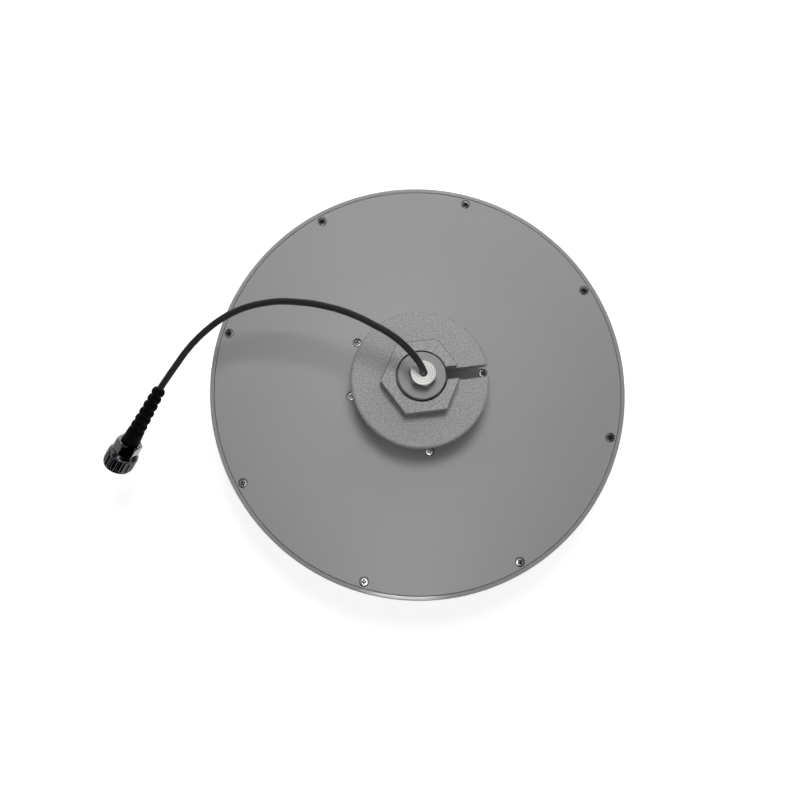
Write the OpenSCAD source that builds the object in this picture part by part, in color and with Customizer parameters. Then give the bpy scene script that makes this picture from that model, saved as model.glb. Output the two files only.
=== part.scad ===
// Ceiling antenna: a shallow round radome closed by a flat back plate, whose hollow
// stud goes up through the ceiling and takes a slotted flange nut. A coaxial lead
// leaves the top of the stud through a metal gland and ends in a screw-on plug.
// Millimetres. +Z points up, into the ceiling; the origin is on the ceiling face
// of the back plate, at the middle of the stud.

/* [Disc] */
// Outside diameter of the radome's rim
disc_d = 300; // [270:1:340]
// Thickness of the back plate
plate_t = 4; // [3:0.5:6]
// Gap between the back plate's edge and the rim around it
plate_gap = 0.4; // [0.2:0.1:0.8]
// Distance from the rim's outside to the circle of rim screws
rim_screw_inset = 7.5; // [7:0.5:12]
// Number of rim screws
rim_screw_count = 8; // [6:1:12]
// Direction of the first rim screw, degrees
rim_screw_turn = 29.5; // [0:0.5:44]

/* [Radome] */
// Depth of the radome below the ceiling face
dome_h = 76; // [70:1:120]
// Height of the straight skirt below the ceiling face
skirt_h = 12; // [10:1:24]
// Wall of the radome
wall = 3; // [2.5:0.1:4]
// Fullness of the dome's curve, 2 is an ellipse
dome_power = 2.1; // [2:0.1:2.8]
// Thickness of the ledge that the back plate lies on
ledge_t = 3; // [2.5:0.1:5]
// Outside diameter of the bosses for the rim screws
boss_d = 7; // [6:0.5:8]
// Width of the rim gasket
gasket_w = 1.6; // [1.2:0.1:2]
// Height of the rim gasket
gasket_h = 1.5; // [1:0.1:2]

/* [Screws] */
// Outside diameter of a screw's thread
screw_d = 3; // [2.5:0.1:3.5]
// Diameter of a screw's head
head_d = 6; // [5.5:0.1:6.6]
// Height of a screw's head
head_h = 2; // [1.6:0.1:2.4]
// Length of a rim screw under its head
rim_screw_len = 10; // [8:1:12]
// Length of a hub screw under its head
hub_screw_len = 14; // [10:1:18]
// Length of a post screw under its head
post_screw_len = 9; // [7:1:12]
// Length of the ground screw under its head
ground_screw_len = 8; // [7:0.5:10]

/* [Stud and mounting nut] */
// Outside diameter of the stud's thread
stud_d = 32; // [28:0.5:36]
// Height of the stud above the ceiling face
stud_h = 48; // [44:1:60]
// Pitch of the stud's thread
thread_pitch = 3; // [2:0.5:4]
// Depth of the stud's thread
thread_depth = 0.9; // [0.5:0.1:1.2]
// Height of the nut's underside above the ceiling face
nut_seat = 19.5; // [2:0.5:22]
// Diameter of the nut's flange
flange_d = 93.6; // [80:0.2:100]
// Thickness of the nut's flange
flange_t = 13; // [8:0.5:16]
// Rounding of the flange's upper edge
flange_round = 2.5; // [1:0.5:4]
// Nut's hexagon across its flats
hex_af = 47; // [42:0.5:54]
// Height of the nut's hexagon above its flange
hex_h = 12; // [8:0.5:16]
// Width of the slot that lets the cable into the nut
slot_w = 8.5; // [6:0.5:12]
// Direction of the slot and of one corner of the hexagon, degrees
nut_turn = 7; // [0:1:30]

/* [Gland] */
// Gland nut across its flats
gland_af = 15.5; // [15:0.5:19]
// Height of the gland nut
gland_h = 11; // [9:0.5:14]
// Thickness of the gland nut's top
gland_cap_t = 3; // [2:0.5:4]
// Direction of one corner of the gland nut, degrees
gland_turn = 42; // [0:1:59]
// Thickness of the gland's rubber seal
seal_t = 2.5; // [2:0.1:3]
// Thickness of the gland's metal ring
ring_t = 1.5; // [1:0.1:2]
// Outside diameter of the feed body in the stud
feed_d = 12; // [10:0.5:13]
// Diameter of the feed body's flange
feed_flange_d = 24; // [18:1:30]
// Thickness of the feed body's flange
feed_flange_t = 3; // [2:0.5:5]

/* [Radiator] */
// Thickness of the ground plane
ground_t = 1.5; // [1:0.1:2.5]
// Gap between the ground plane's edge and the radome's ledge
ground_margin = 13; // [5:1:25]
// Thickness of the radiator's sheet
sheet_t = 1.2; // [0.8:0.1:2]
// Gap between the radiator and the bottom of the dome
crown_gap = 24; // [18:1:36]
// Radius of the circle of hub screws and posts
hub_r = 48.4; // [46:0.2:54]
// Direction of the first hub screw, degrees
hub_turn = 10; // [0:1:89]
// Number of posts
post_count = 4; // [3:1:6]
// Diameter of a post
post_d = 9; // [8:0.5:11]
// Diameter of the feed insulator
insulator_d = 10; // [8:0.5:14]
// Thickness of the feed insulator
insulator_t = 3; // [2:0.5:5]
// Diameter of the feed pin
feed_pin_d = 1.3; // [1:0.1:2]
// Radius at which the ground screw stands
ground_screw_r = 53.2; // [50:0.2:60]
// Direction of the ground screw, degrees
ground_screw_turn = 144.5; // [120:0.5:160]
// Width of the shorting strap
strap_w = 9; // [7:0.5:12]
// Reach of the shorting strap's feet past the ground screw
strap_reach = 6; // [5:0.5:9]

/* [Cable and plug] */
// Outside diameter of the cable
cable_d = 4.2; // [3.6:0.1:5]
// Length of the strain boot
boot_len = 44.5; // [42:0.5:56]
// Diameter of the boot's narrow end
boot_tip_d = 6.5; // [6.2:0.1:8]
// Diameter of the boot between its last ribs
boot_neck_d = 9.4; // [9:0.1:10.4]
// Diameter of the boot where its smooth sleeve starts
boot_sleeve_d = 10.6; // [10:0.1:11.4]
// Diameter of the boot's wide end
boot_end_d = 12; // [11.5:0.1:13]
// Number of ribs on the boot
rib_count = 6; // [4:1:7]
// Spacing of the ribs
rib_pitch = 5.8; // [5:0.1:6]
// Width of the groove between two ribs
rib_groove_w = 1.4; // [0.8:0.1:2]
// Height of a rib
rib_h = 0.6; // [0.4:0.1:1.2]
// Outside diameter of the coupling nut
coupling_d = 20.6; // [19:0.2:24]
// Length of the coupling nut
coupling_len = 22; // [19:0.5:24]
// Coupling nut across its flats
coupling_af = 15.6; // [15:0.2:17]
// Length of the coupling nut's flats
coupling_flat_len = 8.5; // [8:0.5:10]
// Length of the round collar between the flats and the grips
coupling_collar_len = 3; // [2:0.5:4]
// Number of grip grooves on the coupling nut
grip_count = 18; // [12:1:20]
// Bore of the coupling nut's thread
coupling_bore_d = 15.2; // [14.8:0.1:16]
// Outside diameter of the plug's barrel
barrel_d = 10.4; // [9.6:0.1:11]
// Outside diameter of the plug's contact sleeve
sleeve_d = 8.1; // [7.8:0.1:8.6]
// Bore of the plug's contact sleeve
sleeve_bore_d = 6.9; // [6.4:0.1:7.1]
// Diameter of the plug's centre pin
pin_d = 1.65; // [1.4:0.05:2]
// Length of the crimp ferrule
ferrule_len = 18; // [14:1:22]
// Wall of the crimp ferrule
ferrule_wall = 1; // [0.6:0.1:1.4]
// Direction of one corner of the coupling nut, degrees
coupling_turn = 57; // [0:1:59]

/* [Clearances] */
// Gap around a screw in the hole that it passes or threads
screw_gap = 0.15; // [0.1:0.05:0.3]
// Gap around a screw's head in its recess
head_gap = 0.5; // [0.3:0.1:0.8]
// Depth of a screw's head below the face
head_sink = 0.3; // [0.2:0.1:0.5]
// Gap past a screw's tip in a blind hole
tip_gap = 1; // [0.5:0.1:2]
// Gap around the stud in the mounting nut
nut_gap = 0.4; // [0.3:0.1:0.7]
// Gap around the cable and pins in the holes that they pass
cable_gap = 0.2; // [0.1:0.05:0.3]
// Gap around parts that fit into one another
fit_gap = 0.15; // [0.1:0.05:0.3]
// Gap around the coupling nut where it turns on the plug
turn_gap = 0.35; // [0.3:0.05:0.5]

/* [Hidden] */
$fn = 96;

// A cut runs this far past the face that it opens
over = 1;

// Colours, as the object shows them
grey_plastic = "#979797";
grey_nut = "#a0a0a0";
bright_metal = "#d8d8d6";
brass = "#b9a05a";
white_plastic = "#e8e6e0";
black_rubber = "#151515";
black_jacket = "#262626";

// Radii and heights of the disc
rim_r = disc_d / 2;
rim_in_r = rim_r - wall;
plate_r = rim_in_r - plate_gap;
rim_screw_r = rim_r - rim_screw_inset;
head_seat_z = -(head_h + head_sink);
recess_r = head_d / 2 + head_gap;
hole_r = screw_d / 2 + screw_gap;
edge_chamfer = 0.4;
ledge_top_z = -plate_t;
ledge_land = 1;
ledge_r = rim_screw_r - boss_d / 2 - ledge_land - gasket_w - ledge_land;
gasket_in_r = ledge_r + ledge_land;
rim_tip_z = head_seat_z - rim_screw_len;
boss_floor = 1.5;
boss_z = rim_tip_z - tip_gap - boss_floor;
dome_steps = 24;

// Heights down the middle
ground_z = -plate_t - ground_t;
feed_bottom_z = ground_z - feed_flange_t;
cone_top_z = feed_bottom_z - insulator_t;
radiator_z = -(dome_h - wall - crown_gap);
radiator_top_z = radiator_z + sheet_t;
post_gap = 4;
cone_r = hub_r - post_d / 2 - post_gap;
cone_tip_r = insulator_d / 2;
feed_pin_stub = 1;
radiator_r = max(hub_r + post_d / 2, ground_screw_r + strap_reach) + post_gap;
ground_r = ledge_r - ground_margin;

// Heights up the stud
gland_top_z = stud_h + gland_h;
cavity_z = gland_top_z - gland_cap_t;
feed_top_z = cavity_z - seal_t - ring_t;
nut_bore_r = stud_d / 2 + nut_gap;
bore_chamfer = 0.5;
stud_chamfer = 0.8;
thread_runout = 2;
// Crest, root and crest again of one thread groove, as shares of the pitch
thread_marks = [0, 0.35, 0.6, 0.95];
thread_turns = floor((stud_h - 2 * thread_runout) / thread_pitch);

// The hexagons' corners are cut back by a shallow cone, which leaves a round top:
// wider than the flats on the moulded nut, and just inside them on the turned ones
hex_cone_angle = 30;
moulded_top_out = 0.8;
turned_top_in = 0.2;
hex_top_r = hex_af / 2 + moulded_top_out;
gland_top_r = gland_af / 2 - turned_top_in;
coupling_top_r = coupling_af / 2 - turned_top_in;

// Ground screw's nut, and the rivet at the strap's other end
small_nut_af = 5.5;
small_nut_h = 2.4;
rivet_d = 3;
rivet_head_d = 5.5;
rivet_head_h = 1;

// A screw's cross recess
cross_w = 0.9;
cross_l = 3.4;
cross_depth = 1.2;
head_chamfer = 0.5;

// Where the cable lies, from the gland's top to the boot's narrow end
exit_rise = [0, 0, 1];
cable_route = [
    [0, 0, 59], [-1.5, 1.5, 68.5], [-6, 6.5, 76], [-13, 13.5, 79.5], [-21.5, 20, 81], [-31, 25.5, 81],
    [-40.5, 30.5, 80.5], [-50, 34.5, 79.5], [-59.5, 37.5, 78], [-69.5, 40, 76], [-79.5, 41.5, 74],
    [-89.5, 42.5, 71.5], [-99.5, 42, 69], [-109.5, 40.5, 66.5], [-118.5, 38, 63.5], [-127.5, 34, 60.5],
    [-136, 28.5, 58], [-144, 22, 55.5], [-151, 15, 53], [-157.5, 7, 50.5], [-164, -1, 47.5],
    [-170.5, -8.5, 43]
];
cable_sides = 10;
boot_at = cable_route[len(cable_route) - 1];
plug_dir = unit([-6, -8, -4.5]);

// Lengths along the plug, from the boot's narrow end
boot_gap = 0.4;
ribs_len = rib_count * rib_pitch;
rib_w = rib_pitch - rib_groove_w;
sleeve_round = 0.8;
coupling_z = boot_len + boot_gap;
ferrule_z = boot_len - ferrule_len;
stem_z = boot_len - ferrule_len / 2;
stem_r = cable_d / 2 + fit_gap;
ferrule_in_r = stem_r + fit_gap;
ferrule_r = ferrule_in_r + ferrule_wall;
bore_rear_r = barrel_d / 2 + turn_gap;
rear_wall = 2.5;
snap_w = 1.2;
snap_z = coupling_z + rear_wall;
ring_z = snap_z + turn_gap;
snap_groove_w = snap_w + 2 * turn_gap;
snap_bite = 1;
snap_in_r = barrel_d / 2 - snap_bite;
snap_r = barrel_d / 2 + snap_bite;
front_z = coupling_z + coupling_len;
bore_z = coupling_z + coupling_flat_len;
plug_flange_r = coupling_bore_d / 2 - turn_gap;
plug_flange_z = bore_z + turn_gap;
plug_flange_t = 2;
sleeve_z = plug_flange_z + plug_flange_t;
sleeve_recess = 1;
sleeve_end_z = front_z - sleeve_recess;
gasket_ring_t = 1.8;
gasket_ring_margin = 1;
gasket_ring_r = plug_flange_r - gasket_ring_margin;
insulator_z = coupling_z + rear_wall;
pin_z = stem_z + fit_gap;
pin_recess = 2;
pin_tip_r = 0.3;
pin_bore_r = pin_d / 2 + cable_gap;
lip_w = 2;
lip_step = 0.9;
grip_z = coupling_z + coupling_flat_len + coupling_collar_len;
lip_z = front_z - lip_w;
grip_r = 1.3;
grip_bite = 0.7;
collar_round = 0.6;

// A vector of length one
function unit(v) = v / norm(v);

// Points of a quarter of a full oval, from its widest place to the axis
function oval(rx, rz, top_z) = [
    for (i = [0:dome_steps])
        let (a = 90 * i / dome_steps)
        [rx * pow(cos(a), 2 / dome_power), top_z - rz * pow(sin(a), 2 / dome_power)]
];

// A list of points from its end to its start
function backwards(points) = [for (i = [len(points) - 1:-1:0]) points[i]];

// Direction of the cable at each point of its path
function tangents(path, first, last) = [
    for (i = [0:len(path) - 1])
        i == 0 ? first : i == len(path) - 1 ? last : unit(path[i + 1] - path[i - 1])
];

// The part of v that is square to t, with length one
function square_to(v, t) = unit(v - (v * t) * t);

// Sideways directions that follow the path without twisting
function sideways(dirs, start) = [
    for (i = 0, v = square_to(start, dirs[0]); i < len(dirs);
         i = i + 1, v = i < len(dirs) ? square_to(v, dirs[i]) : v) v
];

// Places a number of children evenly on a circle
module ring_of(count, radius, turn) {
    for (i = [0:count - 1])
        rotate(turn + 360 * i / count) translate([radius, 0, 0]) children();
}

// Places its children with +Z along the plug, starting at the boot's narrow end
module along_plug() {
    translate(boot_at)
        rotate([0, acos(plug_dir.z), atan2(plug_dir.y, plug_dir.x)])
            children();
}

// A round tube from z0 to z1
module tube(outer_r, inner_r, z0, z1) {
    difference() {
        translate([0, 0, z0]) cylinder(r = outer_r, h = z1 - z0);
        translate([0, 0, z0 - over]) cylinder(r = inner_r, h = z1 - z0 + 2 * over);
    }
}

// A pan head screw with a cross recess, its head's seat at z = 0 and its tip below
module screw(length) {
    difference() {
        rotate_extrude() polygon([
            [0, -length], [screw_d / 2, -length], [screw_d / 2, 0], [head_d / 2, 0],
            [head_d / 2, head_h - head_chamfer], [head_d / 2 - head_chamfer, head_h], [0, head_h]
        ]);
        for (a = [0, 90])
            rotate(a) translate([-cross_l / 2, -cross_w / 2, head_h - cross_depth])
                cube([cross_l, cross_w, cross_depth + over]);
    }
}

// A hexagonal prism whose top corners are cut back by a cone
module hex_top(across_flats, height, top_r) {
    base_r = across_flats / 2 / cos(30);
    drop = (base_r - top_r) * tan(hex_cone_angle);
    intersection() {
        cylinder(r = base_r, h = height, $fn = 6);
        rotate_extrude() polygon([
            [0, 0], [base_r + over, 0], [base_r + over, height - drop - over * tan(hex_cone_angle)],
            [top_r, height], [0, height]
        ]);
    }
}

// Dome and rim in one moulding, with a ledge for the plate and bosses for the screws
module radome() {
    color(grey_plastic)
    difference() {
        union() {
            rotate_extrude() polygon(concat(
                [[rim_in_r, 0], [rim_r - edge_chamfer, 0], [rim_r, -edge_chamfer]],
                oval(rim_r, dome_h - skirt_h, -skirt_h),
                backwards(oval(rim_in_r, dome_h - skirt_h - wall, -skirt_h)),
                [[rim_in_r, ledge_top_z - ledge_t], [ledge_r, ledge_top_z - ledge_t],
                 [ledge_r, ledge_top_z], [rim_in_r, ledge_top_z]]
            ));
            ring_of(rim_screw_count, rim_screw_r, rim_screw_turn)
                translate([0, 0, boss_z]) cylinder(d = boss_d, h = ledge_top_z - boss_z);
        }
        ring_of(rim_screw_count, rim_screw_r, rim_screw_turn)
            translate([0, 0, rim_tip_z - tip_gap]) cylinder(r = hole_r, h = -rim_tip_z + tip_gap);
        tube(gasket_in_r + gasket_w, gasket_in_r, ledge_top_z - gasket_h, ledge_top_z + over);
    }
}

// Flat seal in the ledge's groove
module rim_gasket() {
    color(black_rubber)
        tube(gasket_in_r + gasket_w - fit_gap, gasket_in_r + fit_gap, ledge_top_z - gasket_h, ledge_top_z);
}

// Outline of the threaded stud, its grooves drawn as rings
function stud_outline() = concat(
    [[0, -plate_t / 2], [stud_d / 2, -plate_t / 2]],
    [for (i = [0:thread_turns - 1], k = [0:3])
        let (z = thread_runout + thread_pitch * i)
        [stud_d / 2 - (k == 1 || k == 2 ? thread_depth : 0), z + thread_pitch * thread_marks[k]]],
    [[stud_d / 2, stud_h - stud_chamfer], [stud_d / 2 - stud_chamfer, stud_h], [0, stud_h]]
);

// Flat disc and hollow threaded stud in one moulding, with recesses for the screws
module back_plate() {
    color(grey_plastic)
    difference() {
        union() {
            rotate_extrude() polygon([
                [0, -plate_t], [plate_r, -plate_t], [plate_r, -edge_chamfer],
                [plate_r - edge_chamfer, 0], [0, 0]
            ]);
            rotate_extrude() polygon(stud_outline());
        }
        translate([0, 0, -plate_t - over])
            cylinder(r = feed_d / 2 + cable_gap, h = plate_t + stud_h + 2 * over);
        ring_of(rim_screw_count, rim_screw_r, rim_screw_turn) plate_screw_hole();
        ring_of(post_count, hub_r, hub_turn) plate_screw_hole();
        ring_of(1, ground_screw_r, ground_screw_turn) plate_screw_hole();
    }
}

// Through hole and head recess in the back plate
module plate_screw_hole() {
    translate([0, 0, -plate_t - over]) cylinder(r = hole_r, h = plate_t + 2 * over);
    translate([0, 0, head_seat_z]) cylinder(r = recess_r, h = over - head_seat_z);
}

// Screws that hold the back plate on the radome
module rim_screws() {
    color(bright_metal)
        ring_of(rim_screw_count, rim_screw_r, rim_screw_turn)
            translate([0, 0, head_seat_z]) screw(rim_screw_len);
}

// Screws that hold the posts under the back plate
module hub_screws() {
    color(bright_metal)
        ring_of(post_count, hub_r, hub_turn) translate([0, 0, head_seat_z]) screw(hub_screw_len);
}

// Screw that holds the shorting strap under the back plate
module ground_screw() {
    color(bright_metal)
        ring_of(1, ground_screw_r, ground_screw_turn) translate([0, 0, head_seat_z]) screw(ground_screw_len);
}

// Hexagonal nut on the ground screw, under the strap
module ground_nut() {
    color(bright_metal)
        ring_of(1, ground_screw_r, ground_screw_turn)
            translate([0, 0, ground_z - sheet_t - small_nut_h])
                difference() {
                    cylinder(r = small_nut_af / 2 / cos(30), h = small_nut_h, $fn = 6);
                    translate([0, 0, -over]) cylinder(r = hole_r, h = small_nut_h + 2 * over);
                }
}

// Flange nut that clamps the ceiling, slotted so that it goes on over the cable
module mounting_nut() {
    arc_steps = 6;
    color(grey_nut)
    translate([0, 0, nut_seat]) rotate(nut_turn)
    difference() {
        union() {
            rotate_extrude() polygon(concat(
                [[0, 0], [flange_d / 2 - edge_chamfer, 0], [flange_d / 2, edge_chamfer]],
                [for (i = [0:arc_steps])
                    let (a = 90 * i / arc_steps)
                    [flange_d / 2 - flange_round * (1 - cos(a)), flange_t - flange_round * (1 - sin(a))]],
                [[0, flange_t]]
            ));
            translate([0, 0, flange_t]) hex_top(hex_af, hex_h, hex_top_r);
        }
        translate([0, 0, -over]) cylinder(r = nut_bore_r, h = flange_t + hex_h + 2 * over);
        translate([0, 0, flange_t + hex_h - bore_chamfer])
            cylinder(r1 = nut_bore_r, r2 = nut_bore_r + 2 * bore_chamfer, h = 2 * bore_chamfer);
        translate([0, -slot_w / 2, -over]) cube([flange_d, slot_w, flange_t + hex_h + 2 * over]);
    }
}

// Metal disc under the back plate
module ground_plane() {
    color(bright_metal)
    difference() {
        translate([0, 0, ground_z]) cylinder(r = ground_r, h = ground_t);
        translate([0, 0, ground_z - over]) {
            cylinder(r = feed_d / 2 + cable_gap, h = ground_t + 2 * over);
            ring_of(post_count, hub_r, hub_turn) cylinder(r = hole_r, h = ground_t + 2 * over);
            ring_of(1, ground_screw_r, ground_screw_turn) cylinder(r = hole_r, h = ground_t + 2 * over);
        }
    }
}

// Insulating posts that carry the radiator
module support_posts() {
    hub_hole = head_seat_z - hub_screw_len - tip_gap;
    post_hole = radiator_z + post_screw_len + tip_gap;
    color(white_plastic)
    ring_of(post_count, hub_r, hub_turn)
        difference() {
            translate([0, 0, radiator_top_z]) cylinder(d = post_d, h = ground_z - radiator_top_z);
            translate([0, 0, hub_hole]) cylinder(r = hole_r, h = ground_z - hub_hole + over);
            translate([0, 0, radiator_z]) cylinder(r = hole_r, h = post_hole - radiator_z);
        }
}

// Screws from below that hold the radiator on its posts
module post_screws() {
    color(bright_metal)
        ring_of(post_count, hub_r, hub_turn)
            translate([0, 0, radiator_z]) rotate([180, 0, 0]) screw(post_screw_len);
}

// Spun sheet cone with a flat flange, its tip at the feed
module radiator() {
    rivet_r = rivet_d / 2 + screw_gap;
    color(brass)
    difference() {
        rotate_extrude() polygon([
            [feed_pin_d / 2 + cable_gap, cone_top_z], [cone_tip_r, cone_top_z],
            [cone_r, radiator_top_z], [radiator_r, radiator_top_z], [radiator_r, radiator_z],
            [cone_r - sheet_t, radiator_z], [cone_tip_r - sheet_t, cone_top_z - sheet_t],
            [feed_pin_d / 2 + cable_gap, cone_top_z - sheet_t]
        ]);
        ring_of(post_count, hub_r, hub_turn)
            translate([0, 0, radiator_z - over]) cylinder(r = hole_r, h = sheet_t + 2 * over);
        ring_of(1, ground_screw_r, ground_screw_turn)
            translate([0, 0, radiator_z - over]) cylinder(r = rivet_r, h = sheet_t + 2 * over);
    }
}

// Folded strip from the ground plane to the radiator's flange
module shorting_strap() {
    foot = 2 * strap_reach;
    color(brass)
    ring_of(1, ground_screw_r, ground_screw_turn)
        difference() {
            translate([-strap_reach, -strap_w / 2, 0]) {
                translate([0, 0, ground_z - sheet_t]) cube([foot, strap_w, sheet_t]);
                translate([0, 0, radiator_top_z]) cube([foot, strap_w, sheet_t]);
                translate([foot - sheet_t, 0, radiator_top_z])
                    cube([sheet_t, strap_w, ground_z - radiator_top_z]);
            }
            translate([0, 0, ground_z - sheet_t - over]) cylinder(r = hole_r, h = sheet_t + 2 * over);
            translate([0, 0, radiator_top_z - over])
                cylinder(r = rivet_d / 2 + screw_gap, h = sheet_t + 2 * over);
        }
}

// Rivet through the strap's lower foot and the radiator's flange
module strap_rivet() {
    foot_top = radiator_top_z + sheet_t;
    color(bright_metal)
    ring_of(1, ground_screw_r, ground_screw_turn) {
        translate([0, 0, radiator_z - rivet_head_h]) cylinder(d = rivet_head_d, h = rivet_head_h);
        translate([0, 0, radiator_z]) cylinder(d = rivet_d, h = foot_top - radiator_z);
        translate([0, 0, foot_top]) cylinder(d = rivet_head_d, h = rivet_head_h);
    }
}

// Turned tube through the stud, its flange under the ground plane
module feed_body() {
    color(brass)
    difference() {
        union() {
            translate([0, 0, feed_bottom_z]) cylinder(d = feed_flange_d, h = feed_flange_t);
            translate([0, 0, ground_z]) cylinder(d = feed_d, h = feed_top_z - ground_z);
        }
        translate([0, 0, feed_bottom_z - over])
            cylinder(r = cable_d / 2 + cable_gap, h = feed_top_z - feed_bottom_z + 2 * over);
    }
}

// Insulating bush between the feed body and the radiator's tip
module feed_insulator() {
    color(white_plastic)
        tube(insulator_d / 2, feed_pin_d / 2 + cable_gap, cone_top_z, feed_bottom_z);
}

// Inner conductor from the cable's end to the radiator's tip
module feed_pin() {
    pin_bottom_z = cone_top_z - sheet_t - feed_pin_stub;
    color(brass)
        translate([0, 0, pin_bottom_z]) cylinder(d = feed_pin_d, h = feed_bottom_z - pin_bottom_z);
}

// The cable's straight stretch through the gland and the stud
module inner_coax() {
    color(black_jacket)
        translate([0, 0, feed_bottom_z]) cylinder(d = cable_d, h = gland_top_z - feed_bottom_z);
}

// Metal ring that presses on the gland's seal
module gland_ring() {
    color(brass)
        tube(feed_d / 2, cable_d / 2 + cable_gap, feed_top_z, feed_top_z + ring_t);
}

// Rubber seal around the cable, under the gland nut's top
module gland_seal() {
    color(black_rubber)
        tube(feed_d / 2, cable_d / 2 + cable_gap, cavity_z - seal_t, cavity_z);
}

// Hexagonal cap nut on the stud's top, which the cable comes out of
module gland_nut() {
    color(bright_metal)
    difference() {
        translate([0, 0, stud_h]) rotate(gland_turn) hex_top(gland_af, gland_h, gland_top_r);
        translate([0, 0, stud_h - over]) {
            cylinder(r = feed_d / 2 + fit_gap, h = gland_h - gland_cap_t + over);
            cylinder(r = cable_d / 2 + cable_gap, h = gland_h + 2 * over);
        }
    }
}

// The free cable, swept along its route and on into the boot
module coax_cable() {
    path = concat(cable_route, [boot_at + stem_z * plug_dir]);
    dirs = tangents(path, exit_rise, plug_dir);
    sides = sideways(dirs, [1, 0, 0]);
    rings = len(path);
    points = [
        for (i = [0:rings - 1], k = [0:cable_sides - 1])
            let (a = 360 * k / cable_sides)
            path[i] + cable_d / 2 * (cos(a) * sides[i] + sin(a) * cross(dirs[i], sides[i]))
    ];
    walls = [
        for (i = [0:rings - 2], k = [0:cable_sides - 1])
            let (n = (k + 1) % cable_sides, base = i * cable_sides)
            [base + k, base + cable_sides + k, base + cable_sides + n, base + n]
    ];
    first_cap = [for (k = [0:cable_sides - 1]) k];
    last_cap = [for (k = [cable_sides - 1:-1:0]) (rings - 1) * cable_sides + k];
    color(black_jacket) polyhedron(points, concat([first_cap], walls, [last_cap]));
}

// Radius of the boot's ribbed stretch at a distance from its narrow end
function boot_core(z) = (boot_tip_d + (boot_neck_d - boot_tip_d) * z / ribs_len) / 2;

// Ribbed rubber boot over the cable and the crimp
module strain_boot() {
    rib_steps = 6;
    color(black_rubber)
    along_plug()
        difference() {
            rotate_extrude() polygon(concat(
                [[0, 0]],
                [for (i = [0:rib_count - 1], k = [0:rib_steps])
                    let (a = 180 * k / rib_steps, z = rib_pitch * i + rib_w * (1 - cos(a)) / 2)
                    [boot_core(z) + rib_h * sin(a), z]],
                [[boot_neck_d / 2, ribs_len], [boot_sleeve_d / 2 - sleeve_round / 2, ribs_len],
                 [boot_sleeve_d / 2, ribs_len + sleeve_round], [boot_end_d / 2, boot_len], [0, boot_len]]
            ));
            translate([0, 0, -over]) cylinder(r = cable_d / 2 + cable_gap, h = boot_len + 2 * over);
            translate([0, 0, ferrule_z - fit_gap])
                cylinder(r = ferrule_r + fit_gap, h = boot_len - ferrule_z + fit_gap + over);
        }
}

// Metal tube crimped over the cable and the plug's stem
module crimp_ferrule() {
    color(bright_metal) along_plug() tube(ferrule_r, ferrule_in_r, ferrule_z, boot_len);
}

// Turned body of the plug: stem, barrel with a groove, flange and contact sleeve
module plug_body() {
    bore_r = sleeve_bore_d / 2;
    color(bright_metal)
    along_plug()
        rotate_extrude() polygon([
            [pin_bore_r, stem_z], [stem_r, stem_z], [stem_r, boot_len], [barrel_d / 2, boot_len],
            [barrel_d / 2, ring_z - fit_gap], [snap_in_r, ring_z - fit_gap],
            [snap_in_r, ring_z + snap_w + fit_gap], [barrel_d / 2, ring_z + snap_w + fit_gap],
            [barrel_d / 2, plug_flange_z], [plug_flange_r, plug_flange_z], [plug_flange_r, sleeve_z],
            [sleeve_d / 2, sleeve_z], [sleeve_d / 2, sleeve_end_z],
            [bore_r, sleeve_end_z], [bore_r, insulator_z], [pin_bore_r, insulator_z]
        ]);
}

// Split ring that holds the coupling nut on the barrel
module snap_ring() {
    color(bright_metal)
    along_plug()
        difference() {
            tube(snap_r, snap_in_r + fit_gap, ring_z, ring_z + snap_w);
            translate([0, -snap_w / 2, ring_z - over]) cube([2 * snap_r, snap_w, snap_w + 2 * over]);
        }
}

// Coupling nut with flats, a round collar, grip grooves and a plain front lip
module coupling_nut() {
    outer_r = coupling_d / 2;
    color(bright_metal)
    along_plug()
        difference() {
            union() {
                translate([0, 0, bore_z + collar_round]) mirror([0, 0, 1]) rotate(-coupling_turn)
                    hex_top(coupling_af, coupling_flat_len + collar_round, coupling_top_r);
                rotate_extrude() polygon([
                    [0, bore_z], [outer_r - collar_round, bore_z], [outer_r, bore_z + collar_round],
                    [outer_r, lip_z], [outer_r - lip_step, lip_z], [outer_r - lip_step, front_z], [0, front_z]
                ]);
            }
            translate([0, 0, coupling_z - over]) cylinder(r = bore_rear_r, h = coupling_flat_len + 2 * over);
            translate([0, 0, snap_z]) cylinder(r = snap_r + turn_gap, h = snap_groove_w);
            translate([0, 0, bore_z]) cylinder(d = coupling_bore_d, h = front_z - bore_z + over);
            ring_of(grip_count, outer_r + grip_r - grip_bite, coupling_turn)
                translate([0, 0, grip_z]) cylinder(r = grip_r, h = lip_z - grip_z + over, $fn = 24);
        }
}

// Insulating bead that carries the centre pin
module plug_insulator() {
    color(white_plastic)
        along_plug() tube(sleeve_bore_d / 2 - fit_gap, pin_d / 2 + fit_gap, insulator_z, sleeve_z);
}

// Centre contact of the plug, with a pointed tip
module centre_pin() {
    tip_z = sleeve_end_z - pin_recess;
    tip_len = pin_d;
    color(brass)
    along_plug()
        rotate_extrude() polygon([
            [0, pin_z], [pin_d / 2, pin_z], [pin_d / 2, tip_z - tip_len], [pin_tip_r, tip_z], [0, tip_z]
        ]);
}

// Rubber washer on the plug's flange, around the sleeve
module plug_gasket() {
    color(black_rubber)
        along_plug()
            tube(gasket_ring_r, sleeve_d / 2 + fit_gap, sleeve_z, sleeve_z + gasket_ring_t);
}

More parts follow.
